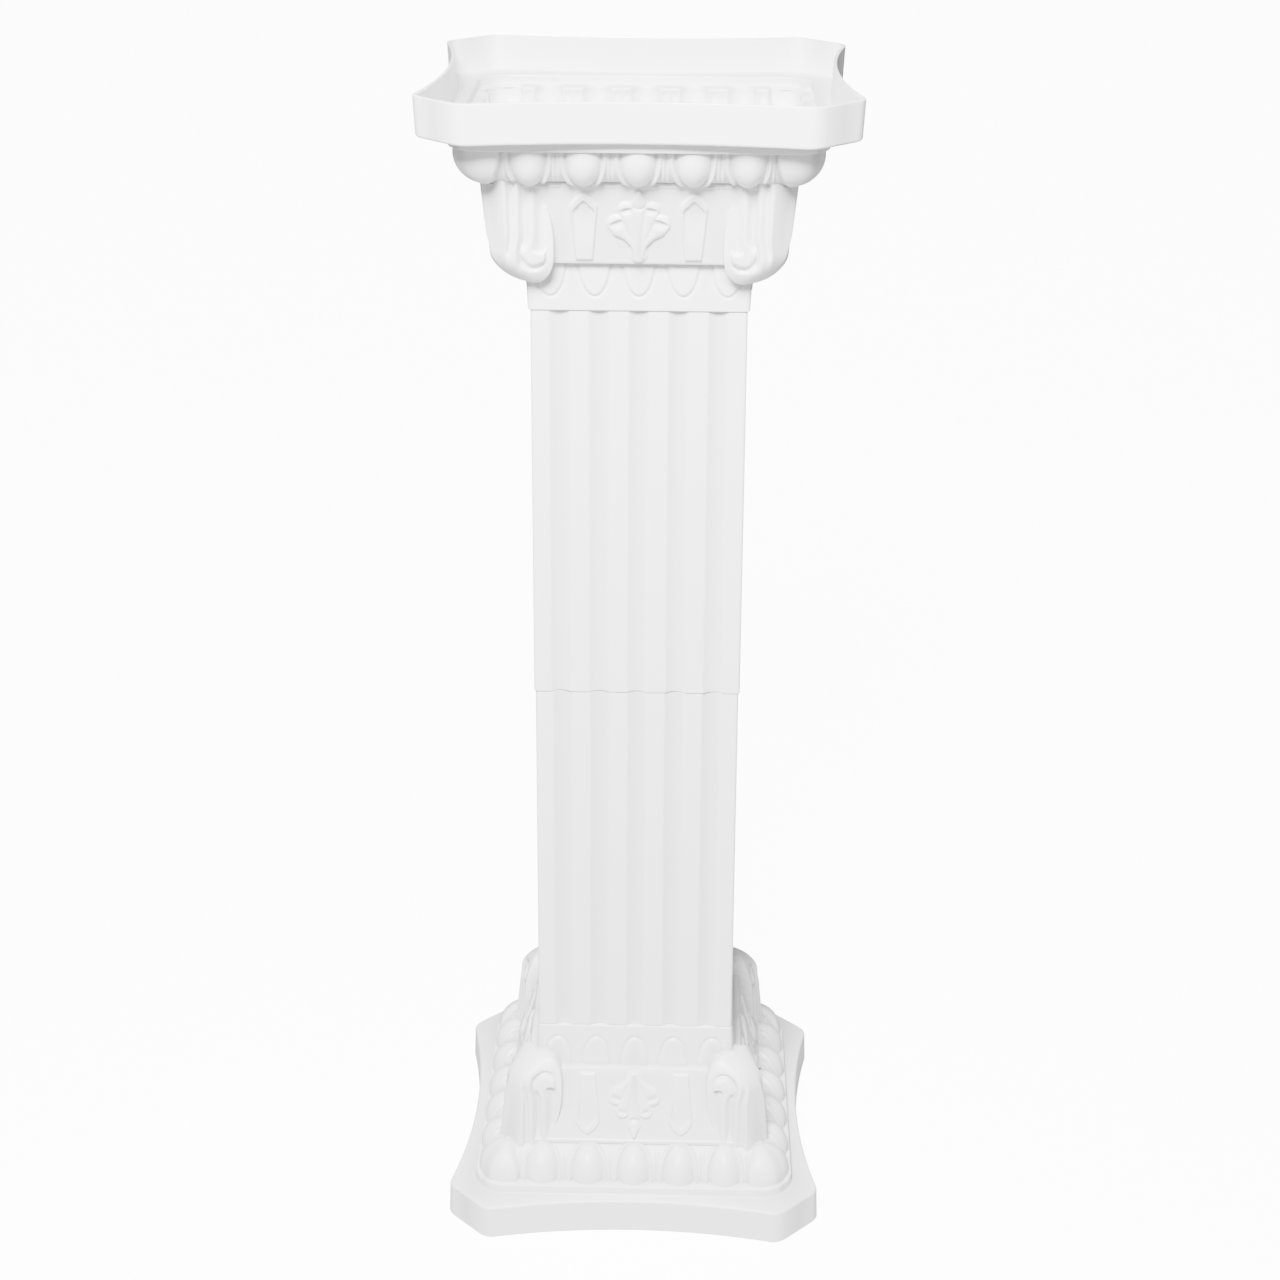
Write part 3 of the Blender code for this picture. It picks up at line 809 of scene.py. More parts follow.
CAPITAL_PALMETTE = Palmette((
    Lobe(
        relief=3.0, path=((0.0, 112.0, 3.0), (0.0, 92.0, 3.4), (0.0, 76.5, 5.0)),
        lip=72.2, cup_half_width=3.4, cup_length=5.5,
    ),
    Lobe(
        relief=2.8, path=((1.0, 112.0, 2.4), (4.8, 92.0, 3.4), (8.6, 76.0, 5.5)),
        lip=75.2, cup_half_width=3.7, cup_length=6.0,
    ),
    Lobe(
        relief=2.8,
        path=((1.0, 112.0, 2.5), (2.2, 106.0, 2.1), (4.2, 101.0, 2.3), (8.2, 96.0, 3.0),
              (12.6, 91.0, 5.8), (14.4, 86.8, 6.9)),
        lip=84.4, cup_half_width=4.7, cup_length=7.5,
    ),
))
BASE_PALMETTE = Palmette((
    Lobe(
        relief=2.6, path=((0.0, 112.0, 3.0), (0.0, 92.0, 3.6), (0.0, 79.5, 4.8)),
        lip=75.0, cup_half_width=3.4, cup_length=5.5,
    ),
    Lobe(
        relief=2.6, path=((1.2, 112.0, 2.6), (5.4, 96.0, 3.8), (9.4, 82.6, 5.3)),
        lip=81.0, cup_half_width=3.6, cup_length=6.0,
    ),
    Lobe(
        relief=2.8,
        path=((1.2, 112.0, 2.4), (3.6, 108.0, 2.2), (8.2, 102.6, 3.0), (13.0, 96.6, 6.0),
              (14.4, 93.4, 6.2)),
        lip=91.4, cup_half_width=4.4, cup_length=6.5,
    ),
))


@dataclass(frozen=True)
class LeafTips:
    """The row of leaf tips that hang from the ledge onto the neck, each with a groove round it."""

    pitch: float = 30.0
    per_side: int = 2
    half_width: float = 10.4
    length: float = 23.6
    relief: float = 0.9
    power: float = 1.9
    edge: tuple[float, float] = (-0.4, 1.6)
    groove: float = 0.75
    groove_width: float = 0.9
    least_slope: float = 0.04

    def relief_at(self, ledge_level: float, lateral: np.ndarray, level: np.ndarray) -> np.ndarray:
        """The tips' rise above the neck.

        Args:
            ledge_level: the level that the tips hang from.
            lateral: places along the face.
            level: their heights.

        Returns:
            The height, below 0 in the grooves.
        """
        middle = np.minimum(np.round(lateral / self.pitch), self.per_side) * self.pitch
        across = (lateral - middle) / self.half_width
        along = np.clip(level - ledge_level, 0.0, None) / self.length
        filled = across**2 + along**self.power
        rise = self.power * along ** (self.power - 1) / self.length
        slope = np.hypot(2 * across / self.half_width, rise)
        inside = (1.0 - filled) / np.maximum(slope, self.least_slope)
        plate = self.relief * ease(inside, *self.edge)
        groove = self.groove * np.exp(-(((inside + self.groove_width) / self.groove_width) ** 2))
        return plate - groove


@dataclass
class EndMoulding:
    """The moulding that serves as base and as capital."""

    palmette: Palmette
    slab: Slab = Slab()
    profile: Profile = Profile()
    eggs: EggRow = EggRow()
    bracket: Bracket = Bracket()
    lancet: Lancet = Lancet()
    leaf_tips: LeafTips = LeafTips()
    wall: float = 2.5

    deck_rows: int = 12
    deck_shares: tuple[float, float] = (0.35, 0.7)
    band_start: float = 1.8
    band_rows: int = 6
    ovolo_steps: int = 90
    ovolo_fade_steps: int = 5
    ovolo_fade: tuple[float, float] = (0.6, 0.8)
    under_bracket: tuple[float, float] = (60.0, 66.0)
    egg_soft: float = 0.8
    bracket_soft: float = 0.6
    fillet_step: float = 0.3
    neck_start: float = 0.2
    end_shares: tuple[float, ...] = (0.75, 0.5, 0.25, 0.0)
    roof_shares: tuple[float, ...] = (0.0, 0.25, 0.5, 0.75, 0.97)
    face_step: float = 0.5
    inner_step: float = 0.75
    inner_run: float = 1.3
    inner_relief: float = 0.7
    inner_fade: tuple[float, ...] = (0.5, 6.0, -6.0, -1.0)
    inner_edge: float = 0.6
    settling: int = 30
    settled_share: float = 0.65
    body_share: float = 0.97
    columns: int = 210
    triangles_per_half: int = 23500
    reach: float = 150.0
    fine_step: float = 0.25

    def bracket_depth(self, lateral: np.ndarray, level: np.ndarray) -> np.ndarray:
        """The depth of the bracket's skin, and 0 beside it."""
        return self.bracket.depth_at(self.profile, lateral, level)

    def deck_and_band_rows(self, fine: np.ndarray) -> list[Row]:
        """The rows from the slab's edge over its deck, up the band and in to the quarter-round's foot.

        Args:
            fine: evenly spaced places along the face.

        Returns:
            The rows, in order along the profile.
        """
        slab, profile = self.slab, self.profile
        made = []
        band = square_depth(fine, profile.band_half, profile.band_radius)
        edge = slab.depth_at(fine, slab.draft + slab.edge)
        round_edge = profile.band_edge
        for share in np.linspace(0.0, 1.0, self.deck_rows)[1:]:
            made.append(level_row(fine, edge + (band + round_edge - edge) * share, slab.height))
        for turn in quarter_turn(EDGE_ROWS)[1:]:
            level = slab.height + round_edge * (1 - math.cos(turn))
            made.append(level_row(fine, band + round_edge * (1 - math.sin(turn)), level))
        top = profile.ovolo_level
        for level in np.linspace(slab.height + self.band_start, top - round_edge, self.band_rows):
            made.append(level_row(fine, band, level))
        for turn in quarter_turn(EDGE_ROWS)[1:]:
            level = top - round_edge * (1 - math.sin(turn))
            made.append(level_row(fine, band - round_edge * (1 - math.cos(turn)), level))
        foot = square_depth(fine, profile.ovolo_foot_half, profile.band_radius)
        start = band - round_edge
        for share in self.deck_shares:
            made.append(level_row(fine, start + (foot - start) * share, top))
        return made

    def ovolo_rows(self, fine: np.ndarray) -> list[Row]:
        """The rows of the quarter-round, with the eggs, shells, darts and the roots of the brackets.

        Args:
            fine: evenly spaced places along the face.

        Returns:
            The rows, in order along the profile.
        """
        profile = self.profile
        angles = [step / self.ovolo_steps * math.pi / 2 for step in range(self.ovolo_steps + 1)]
        halves = [profile.bell_head_half + profile.ovolo_projection * math.cos(angle) for angle in angles]
        levels = [profile.ovolo_level + profile.ovolo_height * math.sin(angle) for angle in angles]
        runs = np.concatenate([[0.0], np.cumsum(np.hypot(np.diff(halves), np.diff(levels)))])
        made = []
        for step, (angle, half, level, run) in enumerate(zip(angles, halves, levels, runs)):
            base = square_depth(fine, half, profile.ovolo_radius(math.cos(angle)))
            out = [math.cos(angle) / profile.ovolo_projection, math.sin(angle) / profile.ovolo_height]
            out = np.array(out) / np.hypot(*out)
            relief = self.eggs.relief_at(fine, np.full(fine.shape, run))
            relief *= min(1.0, (self.ovolo_steps - step) / self.ovolo_fade_steps)
            hidden = ease(step / self.ovolo_steps, *self.ovolo_fade)
            relief *= 1.0 - ease(fine, *self.under_bracket) * hidden
            height = level + relief * out[1]
            depth = blend_max(base + relief * out[0], self.eggs.depth_at(fine, height), self.egg_soft)
            made.append(level_row(fine, np.maximum(depth, self.bracket_depth(fine, height)), height))
        return made

    def panel_rows(self, fine: np.ndarray) -> list[Row]:
        """The rows of the fillet and the bell's panel, with lancets, palmette and brackets.

        Args:
            fine: evenly spaced places along the face.

        Returns:
            The rows, in order along the profile.
        """
        profile = self.profile
        close_end = profile.bell_level + profile.fillet_clear
        close = np.arange(profile.fillet_level + self.fillet_step, close_end, self.fillet_step)
        rest_end = profile.ledge_level - profile.ledge_edge
        rest = np.arange(close[-1] + self.face_step, rest_end, self.face_step)
        fillet_fall = (profile.bell_level - profile.fillet_clear, profile.bell_level + profile.fillet_foot)
        made = []
        for level in np.concatenate([close, rest]):
            here = np.full(fine.shape, level)
            panel = square_depth(fine, profile.bell_depth(level), profile.bell_radius)
            panel = panel + self.lancet.relief_at(fine, here) + self.palmette.relief_at(fine, here)
            fillet = ease(level, profile.fillet_level, profile.fillet_level + profile.fillet_soft)
            fillet *= 1.0 - ease(level, *fillet_fall)
            panel = blend_max(panel + fillet, self.eggs.depth_at(fine, here), self.egg_soft)
            panel = blend_max(panel, self.bracket_depth(fine, here), self.bracket_soft)
            made.append(level_row(fine, panel, level))
        return made

    def neck_rows(self, fine: np.ndarray) -> list[Row]:
        """The rows of the ledge's rounded lip, the neck with its leaf tips and the neck's end.

        Args:
            fine: evenly spaced places along the face.

        Returns:
            The rows, in order along the profile.
        """
        profile = self.profile
        made = []
        lip = square_depth(fine, profile.bell_foot_half, profile.ledge_radius)
        stem = self.palmette.relief_at(fine, np.full(fine.shape, profile.ledge_level))
        for turn in quarter_turn(EDGE_ROWS):
            level = profile.ledge_level - profile.ledge_edge * (1.0 - math.sin(turn))
            ledge = lip + stem - profile.ledge_edge * (1.0 - math.cos(turn))
            bracket = self.bracket_depth(fine, np.full(fine.shape, level))
            made.append(level_row(fine, np.maximum(ledge, bracket), level))
        first, last = profile.ledge_level + self.neck_start, profile.neck_end - profile.neck_edge
        for level in np.arange(first, last, self.face_step):
            here = np.full(fine.shape, level)
            neck = square_depth(fine, profile.neck_depth(level), profile.neck_radius)
            neck = neck + self.leaf_tips.relief_at(profile.ledge_level, fine, here)
            neck = blend_max(neck, self.bracket_depth(fine, here), self.bracket_soft)
            made.append(level_row(fine, neck, level))
        for turn in quarter_turn(EDGE_ROWS):
            half = profile.neck_end_half - profile.neck_edge * (1.0 - math.cos(turn))
            level = profile.neck_end - profile.neck_edge * (1.0 - math.sin(turn))
            made.append(level_row(fine, square_depth(fine, half, profile.neck_radius), level))
        return made

    def spigot_rows(self, fine: np.ndarray) -> list[Row]:
        """The rows of the spigot that enters the shaft, and of its closed end.

        Args:
            fine: evenly spaced places along the face.

        Returns:
            The rows, in order along the profile.
        """
        profile = self.profile
        spigot = square_depth(fine, profile.spigot_half, profile.spigot_radius)
        end = profile.neck_end + profile.spigot_height
        made = [
            level_row(fine, spigot, profile.neck_end),
            level_row(fine, spigot, end - profile.spigot_edge),
            level_row(fine, spigot - profile.spigot_edge, end),
        ]
        made += [level_row(fine, spigot * share, end) for share in self.end_shares]
        return made

    def core_depth(self, lateral: np.ndarray, level: np.ndarray) -> np.ndarray:
        """The outer skin as a plain depth, without the finest relief, for the hollow inside to follow.

        Args:
            lateral: places along the face.
            level: their heights.

        Returns:
            The depth at each place.
        """
        profile = self.profile
        slab = self.slab.depth_at(lateral, self.slab.drafted(level))
        band = square_depth(lateral, profile.band_half, profile.band_radius)
        sine = np.clip((level - profile.ovolo_level) / profile.ovolo_height, 0.0, 1.0)
        cosine = np.sqrt(1.0 - sine**2)
        half = profile.bell_head_half + profile.ovolo_projection * cosine
        eggs, brackets = self.eggs.depth_at(lateral, level), self.bracket_depth(lateral, level)
        ovolo = np.maximum(square_depth(lateral, half, profile.ovolo_radius(cosine)), eggs)
        panel = square_depth(lateral, profile.bell_depth(level), profile.bell_radius)
        panel = panel + self.palmette.relief_at(lateral, level) + self.lancet.relief_at(lateral, level)
        panel = np.maximum(np.maximum(panel, eggs), brackets)
        neck = np.maximum(square_depth(lateral, profile.neck_depth(level), profile.neck_radius), brackets)
        spigot = square_depth(lateral, profile.spigot_half, profile.spigot_radius)
        chosen = np.where(level < self.slab.height, slab, band)
        chosen = np.where(level > profile.ovolo_level, ovolo, chosen)
        chosen = np.where(level > profile.fillet_level, panel, chosen)
        chosen = np.where(level > profile.ledge_level, neck, chosen)
        return np.where(level > profile.neck_end, spigot, chosen)

    def moved_in(self, fine: np.ndarray, levels: np.ndarray) -> np.ndarray:
        """The core's depth with the wall taken off all round.

        Args:
            fine: evenly spaced laterals.
            levels: evenly spaced levels.

        Returns:
            The hollow's depth, one row for each level.
        """
        sample = self.core_depth(fine[None, :], levels[:, None])
        eroded = np.full(sample.shape, np.inf)
        reach_rows = int(self.wall / self.inner_step)
        reach_columns = int(self.wall / self.fine_step)
        mirrored = np.concatenate([sample[:, reach_columns:0:-1], sample], axis=1)
        for up in range(-reach_rows, reach_rows + 1):
            rows = np.clip(np.arange(len(levels)) + up, 0, len(levels) - 1)
            for along in range(-reach_columns, reach_columns + 1, 2):
                over = self.wall**2 - (up * self.inner_step) ** 2 - (along * self.fine_step) ** 2
                if over < 0.0:
                    continue
                start = reach_columns + along
                moved = mirrored[rows, start:start + len(fine)]
                width = moved.shape[1]
                eroded[:, :width] = np.minimum(eroded[:, :width], moved - math.sqrt(over))
        return eroded

    def inner_ribs(self, fine: np.ndarray, levels: np.ndarray) -> np.ndarray:
        """How far the backs of the shells and darts stand out inside the quarter-round.

        Args:
            fine: evenly spaced laterals.
            levels: evenly spaced levels.

        Returns:
            The relief, one row for each level.
        """
        profile = self.profile
        run = (levels[:, None] - profile.ovolo_level) * self.inner_run
        first, full, fall, last = self.inner_fade
        within = ease(levels, profile.ovolo_level + first, profile.ovolo_level + full)
        within *= 1.0 - ease(levels, profile.fillet_level + fall, profile.fillet_level + last)
        ribs = self.eggs.relief_at(fine[None, :] + 0.0 * run, run + 0.0 * fine[None, :])
        return self.inner_relief * within[:, None] * ribs

    def inner_rows(self, fine: np.ndarray) -> list[Row]:
        """The rows of the hollow, from its closed end out to the rim.

        Args:
            fine: evenly spaced places along the face.

        Returns:
            The rows, in order along the profile.
        """
        roof = self.profile.neck_end + self.profile.spigot_height - self.wall
        levels = np.arange(0.0, roof + self.wall + self.inner_step, self.inner_step)
        depth = self.moved_in(fine, levels) + self.inner_ribs(fine, levels)
        keep = levels <= roof
        depth, levels = depth[keep], levels[keep]
        made = [level_row(fine, depth[-1] * share, roof) for share in self.roof_shares]
        made += [level_row(fine, depth[row], levels[row]) for row in range(len(levels) - 1, 0, -1)]
        rim = self.slab.depth_at(fine, self.wall)
        for turn in quarter_turn(EDGE_ROWS)[:-1]:
            level = self.inner_edge * (1.0 - math.sin(turn))
            made.append(level_row(fine, rim + self.inner_edge * (1.0 - math.cos(turn)), level))
        return made

    def skin(self, name: str) -> HalfFaceSkin:
        """The moulding's whole closed skin over half a face.

        Args:
            name: the finished object's name.

        Returns:
            The skin, its grid ending on the corner diagonal in every row.
        """
        fine = np.arange(0.0, self.reach, self.fine_step)
        rows = self.inner_rows(fine) + self.slab.rows(fine) + self.deck_and_band_rows(fine)
        rows += self.ovolo_rows(fine) + self.panel_rows(fine)
        rows += self.neck_rows(fine) + self.spigot_rows(fine)
        depth = np.array([row[0] for row in rows])
        level = np.array([row[1] for row in rows])
        corners = np.array([corner_place(fine, row) for row in depth])
        shares = np.array([self.column_shares(fine, *parts) for parts in zip(depth, level, corners)])
        lateral = self.settled(shares * corners[:, None], corners)
        placed_depth = np.array([np.interp(places, fine, row) for places, row in zip(lateral, depth)])
        placed_level = np.array([np.interp(places, fine, row) for places, row in zip(lateral, level)])
        placed_depth[:, -1] = corners
        hollow = self.hollowness(placed_depth)
        return HalfFaceSkin(name, lateral, placed_depth, placed_level, hollow, self.triangles_per_half)

    def settled(self, lateral: np.ndarray, corners: np.ndarray) -> np.ndarray:
        """The columns' places with their sideways shifts from row to row spread out.

        Args:
            lateral: each row's places.
            corners: each row's corner, which stays the last place.

        Returns:
            The settled places.
        """
        body = np.nonzero(corners > self.profile.spigot_half * self.body_share)[0]
        span = slice(body[0], body[-1] + 1)
        smooth = lateral[span].copy()
        for _ in range(self.settling):
            smooth[1:-1] = (smooth[:-2] + smooth[1:-1] + smooth[2:]) / 3.0
        off = corners[span] - smooth[:, -1]
        shares = ease(np.linspace(0.0, 1.0, self.columns), self.settled_share, 1.0)
        settled = lateral.copy()
        settled[span] = smooth + off[:, None] * shares
        return settled

    def column_shares(
        self, fine: np.ndarray, depth: np.ndarray, level: np.ndarray, corner: float
    ) -> np.ndarray:
        """Where a row's columns stand, closer together where the skin is steep.

        Args:
            fine: the table's laterals.
            depth: the row's depths.
            level: the row's levels.
            corner: the lateral of the row's corner.

        Returns:
            The columns' places as shares of the way to the corner.
        """
        if corner == 0.0:
            return np.linspace(0.0, 1.0, self.columns)
        places = np.linspace(0.0, corner, self.columns * 3)
        row_depth, row_level = np.interp(places, fine, depth), np.interp(places, fine, level)
        steps = np.sqrt(np.diff(places) ** 2 + np.diff(row_depth) ** 2 + np.diff(row_level) ** 2)
        run = np.concatenate([[0.0], np.cumsum(steps)])
        mixed = 0.5 * run / run[-1] + 0.5 * places / corner
        return np.interp(np.linspace(0.0, 1.0, self.columns), mixed, places / corner)

    @staticmethod
    def hollowness(depth: np.ndarray) -> np.ndarray:
        """How hollow the skin is, which masks the shade painted into its hollows.

        Args:
            depth: the grid's depths.

        Returns:
            How far each point lies below the general surface round it, from 0 to 1.
        """
        smooth = depth.copy()
        for _ in range(HOLLOW_PASSES):
            for axis in (0, 1):
                for reach in HOLLOW_REACHES:
                    smooth = (smooth + np.roll(smooth, reach, axis) + np.roll(smooth, -reach, axis)) / 3.0
        return np.clip((smooth - depth) / FULL_HOLLOW, 0.0, 1.0)

    def build(self, name: str, node: str, stance: Stance, finish: bpy.types.Material) -> bpy.types.Object:
        """Builds the moulding as one piece in its place.

        Args:
            name: the piece's name.
            node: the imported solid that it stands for.
            stance: which way up it stands.
            finish: its finish.

        Returns:
            The finished piece.
        """
        piece = self.skin(name).whole_object()
        if stance is Stance.TURNED_OVER:
            turned = Matrix.Translation((0.0, 0.0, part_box(node)[1].z)) @ Matrix.Rotation(math.pi, 4, "X")
            piece.data.transform(turned)
        dress(piece, node, finish)
        return piece


@dataclass
class ShaftTube:
    """A square tube with flutes on every face. Its levels are above its own foot."""

    foot_half: float = 75.0
    head_half: float = 74.0
    length: float = 284.55
    corner_radius: float = 2.2
    flute_width: float = 14.0
    flute_depth: float = 3.2
    flute_soft: float = 0.5
    flute_reach: float = 1.3
    flutes_per_side: int = 2
    corner_ridge: float = 12.8
    end_edge: float = 0.7
    end_clear: float = 2.0
    face_rows: int = 8
    wall: float = 2.5
    bore_radius: float = 4.0
    bore_top_share: float = 0.9
    bore_rows: int = 6
    tongue_height: float = 14.0
    tongue_half: float = 68.7
    with_tongue: bool = False
    hollow_start: float = 1.0
    columns: int = 130
    reach_past_foot: float = 6.0
    fine_step: float = 0.25

    def face_depth(self, lateral: np.ndarray, half: float) -> np.ndarray:
        """The fluted face's depth along its width.

        Args:
            lateral: places along the face.
            half: half the tube's width at this level.

        Returns:
            The depth at each place.
        """
        pitch = (half - self.corner_ridge - self.flute_width / 2) / self.flutes_per_side
        middle = np.minimum(np.round(lateral / pitch), self.flutes_per_side) * pitch
        across = (lateral - middle) / (self.flute_width / 2)
        arc = self.flute_depth * (1.0 - across**2)
        cut = blend_max(arc, np.zeros_like(arc), self.flute_soft)
        near = np.abs(across) < self.flute_reach
        return square_depth(lateral, half, self.corner_radius) - np.where(near, cut, 0.0)

    def fluted_row(self, fine: np.ndarray, level: float, inset: float) -> Row:
        """A row of the fluted outside, set in by a rounded edge's inset."""
        half = self.foot_half + (self.head_half - self.foot_half) * level / self.length
        return level_row(fine, self.face_depth(fine, half) - inset, level)

    def plain_row(self, fine: np.ndarray, half: float, level: float) -> Row:
        """A row of a plain square."""
        return level_row(fine, square_depth(fine, half, min(self.bore_radius, half)), level)

    def inside_rows(self, fine: np.ndarray) -> list[Row]:
        """The rows of the bore, from the head or the tongue's end down to the foot.

        Args:
            fine: evenly spaced places along the face.

        Returns:
            The rows, in order along the profile.
        """
        made = []
        skin = self.flute_depth + self.wall
        bore_foot, bore_head = self.foot_half - skin, self.head_half - skin
        if self.with_tongue:
            way = self.tongue_half - self.wall
            made.append(self.plain_row(fine, way, self.length + self.tongue_height))
            made.append(self.plain_row(fine, way, self.length - self.wall))
        made.append(self.plain_row(fine, bore_head, self.length - (self.wall if self.with_tongue else 0.0)))
        for level in np.linspace(self.length * self.bore_top_share, 0.0, self.bore_rows):
            half = bore_foot + (bore_head - bore_foot) * level / self.length
            made.append(self.plain_row(fine, half, level))
        return made

    def outside_rows(self, fine: np.ndarray) -> list[Row]:
        """The rows of the outside, from the foot to the head and over the tongue if there is one.

        Args:
            fine: evenly spaced places along the face.

        Returns:
            The rows, in order along the profile.
        """
        made = []
        edge = self.end_edge
        clear = edge + self.end_clear
        for turn in quarter_turn(EDGE_ROWS):
            made.append(self.fluted_row(fine, edge * (1.0 - math.cos(turn)), edge * (1.0 - math.sin(turn))))
        for level in np.linspace(clear, self.length - edge - self.end_clear, self.face_rows):
            made.append(self.fluted_row(fine, level, 0.0))
        for turn in quarter_turn(EDGE_ROWS):
            level = self.length - edge * (1.0 - math.sin(turn))
            made.append(self.fluted_row(fine, level, edge * (1.0 - math.cos(turn))))
        if self.with_tongue:
            end = self.length + self.tongue_height
            made.append(self.plain_row(fine, self.tongue_half, self.length))
            made.append(self.plain_row(fine, self.tongue_half, end))
            made.append(self.plain_row(fine, self.tongue_half - self.wall, end))
        else:
            bore_head = self.head_half - (self.flute_depth + self.wall)
            made.append(self.plain_row(fine, bore_head, self.length))
        return made

    def skin(self, name: str) -> HalfFaceSkin:
        """The tube's closed skin over half a face.

        Args:
            name: the finished object's name.

        Returns:
            The skin, from the bore round the outside to its head.
        """
        fine = np.arange(0.0, self.foot_half + self.reach_past_foot, self.fine_step)
        rows = self.inside_rows(fine) + self.outside_rows(fine)
        corners = np.array([corner_place(fine, line) for line, _ in rows])
        lateral = corners[:, None] * np.linspace(0.0, 1.0, self.columns)
        depth = np.array([np.interp(places, fine, line) for places, (line, _) in zip(lateral, rows)])
        depth[:, -1] = corners
        height = np.array([np.full(self.columns, level[0]) for _, level in rows])
        # the flutes' depth as hollowness, the mask for the shade painted into the flutes
        hollow = np.clip((self.foot_half - depth - self.hollow_start) / self.flute_depth, 0.0, 1.0)
        return HalfFaceSkin(name, lateral, depth, height, hollow)

    def build(self, name: str, node: str, finish: bpy.types.Material) -> bpy.types.Object:
        """Builds the tube as one piece standing in its node's place.

        Args:
            name: the piece's name.
            node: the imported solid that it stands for.
            finish: its finish.

        Returns:
            The finished piece.
        """
        piece = self.skin(name).whole_object()
        piece.data.transform(Matrix.Translation((0.0, 0.0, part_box(node)[0].z)))
        dress(piece, node, finish)
        return piece


class NodeGroup:
    """A shader node group with named sockets, built once and shared by the materials."""

    def __init__(self, name: str, inputs: dict[str, tuple[str, object]], outputs: dict[str, str]) -> None:
        """Makes the group and its sockets.

        Args:
            name: the group's name.
            inputs: for each input, its kind of socket and its starting value.
            outputs: for each output, its kind of socket.
        """
        self.tree = bpy.data.node_groups.new(name, "ShaderNodeTree")
        for label, (kind, value) in inputs.items():
            socket = self.tree.interface.new_socket(label, in_out="INPUT", socket_type=kind)
            socket.default_value = value
        for label, kind in outputs.items():
            self.tree.interface.new_socket(label, in_out="OUTPUT", socket_type=kind)
        self.given = self.tree.nodes.new("NodeGroupInput").outputs
        self.result = self.tree.nodes.new("NodeGroupOutput").inputs

    def node(self, kind: str, **settings: object) -> bpy.types.Node:
        """Adds a node.

        Args:
            kind: the node's type.
            settings: its properties, by name.

        Returns:
            The new node.
        """
        added = self.tree.nodes.new(kind)
        for label, value in settings.items():
            setattr(added, label, value)
        return added

    def join(self, source: bpy.types.NodeSocket, target: bpy.types.NodeSocket) -> None:
        """Links one socket to another."""
        self.tree.links.new(source, target)


TOOTH_SCALE = 900.0
TOOTH_HEIGHT = 0.0002
TOOTH_DETAIL = 2.0
FLOW_SCALE = 14.0
FLOW_HEIGHT = 0.002
FLOW_DETAIL = 3.0
PLAIN_STRENGTH = 0.1
PLAIN_FACE = (0.8, 0.8, 0.8, 1.0)
# the painted shade's default colour and strength in the hollows
PLAIN_PAINTED_SHADE = (0.6, 0.6, 0.6, 1.0)
PLAIN_SHADE_AMOUNT = 0.5


def moulded_grain() -> bpy.types.ShaderNodeTree:
    """The fine tooth of moulded plastic and the slow unevenness of its gloss.

    Returns:
        The group, with a normal and an unevenness from 0 to 1.
    """
    group = NodeGroup(
        "moulded_grain",
        {
            "Tooth Scale": ("NodeSocketFloat", TOOTH_SCALE),
            "Tooth Strength": ("NodeSocketFloat", PLAIN_STRENGTH),
            "Flow Scale": ("NodeSocketFloat", FLOW_SCALE),
            "Flow Strength": ("NodeSocketFloat", PLAIN_STRENGTH),
        },
        {"Normal": "NodeSocketVector", "Unevenness": "NodeSocketFloat"},
    )
    place = group.node("ShaderNodeTexCoord").outputs["Object"]
    tooth = group.node("ShaderNodeTexNoise")
    tooth.inputs["Detail"].default_value = TOOTH_DETAIL
    flow = group.node("ShaderNodeTexNoise")
    flow.inputs["Detail"].default_value = FLOW_DETAIL
    group.join(place, tooth.inputs["Vector"])
    group.join(place, flow.inputs["Vector"])
    group.join(group.given["Tooth Scale"], tooth.inputs["Scale"])
    group.join(group.given["Flow Scale"], flow.inputs["Scale"])
    waves = group.node("ShaderNodeBump")
    waves.inputs["Distance"].default_value = FLOW_HEIGHT
    grain = group.node("ShaderNodeBump")
    grain.inputs["Distance"].default_value = TOOTH_HEIGHT
    group.join(flow.outputs[0], waves.inputs["Height"])
    group.join(group.given["Flow Strength"], waves.inputs["Strength"])
    group.join(tooth.outputs[0], grain.inputs["Height"])
    group.join(group.given["Tooth Strength"], grain.inputs["Strength"])
    group.join(waves.outputs["Normal"], grain.inputs["Normal"])
    group.join(grain.outputs["Normal"], group.result["Normal"])
    group.join(flow.outputs[0], group.result["Unevenness"])
    return group.tree


def painted_hollow_shade() -> bpy.types.ShaderNodeTree:
    """Painted shade: the faint darkening in the hollows of the relief, where shade falls.

    Returns:
        The group, with the colour darkened by the painted shade and the hollow's mask.
    """
    group = NodeGroup(
        "painted_hollow_shade",
        {
            "Face": ("NodeSocketColor", PLAIN_FACE),
            "Painted Shade": ("NodeSocketColor", PLAIN_PAINTED_SHADE),
            "Amount": ("NodeSocketFloat", PLAIN_SHADE_AMOUNT),
        },
        {"Colour": "NodeSocketColor", "Mask": "NodeSocketFloat"},
    )
    # the hollowness attribute masks the painted shade
    depth = group.node("ShaderNodeAttribute", attribute_name=HOLLOW)
    share = group.node("ShaderNodeMath", operation="MULTIPLY", use_clamp=True)
    blend = group.node("ShaderNodeMix", data_type="RGBA")
    group.join(depth.outputs["Fac"], share.inputs[0])
    group.join(group.given["Amount"], share.inputs[1])
    group.join(share.outputs[0], blend.inputs["Factor"])
    group.join(group.given["Face"], blend.inputs["A"])
    group.join(group.given["Painted Shade"], blend.inputs["B"])
    group.join(blend.outputs["Result"], group.result["Colour"])
    group.join(share.outputs[0], group.result["Mask"])
    return group.tree


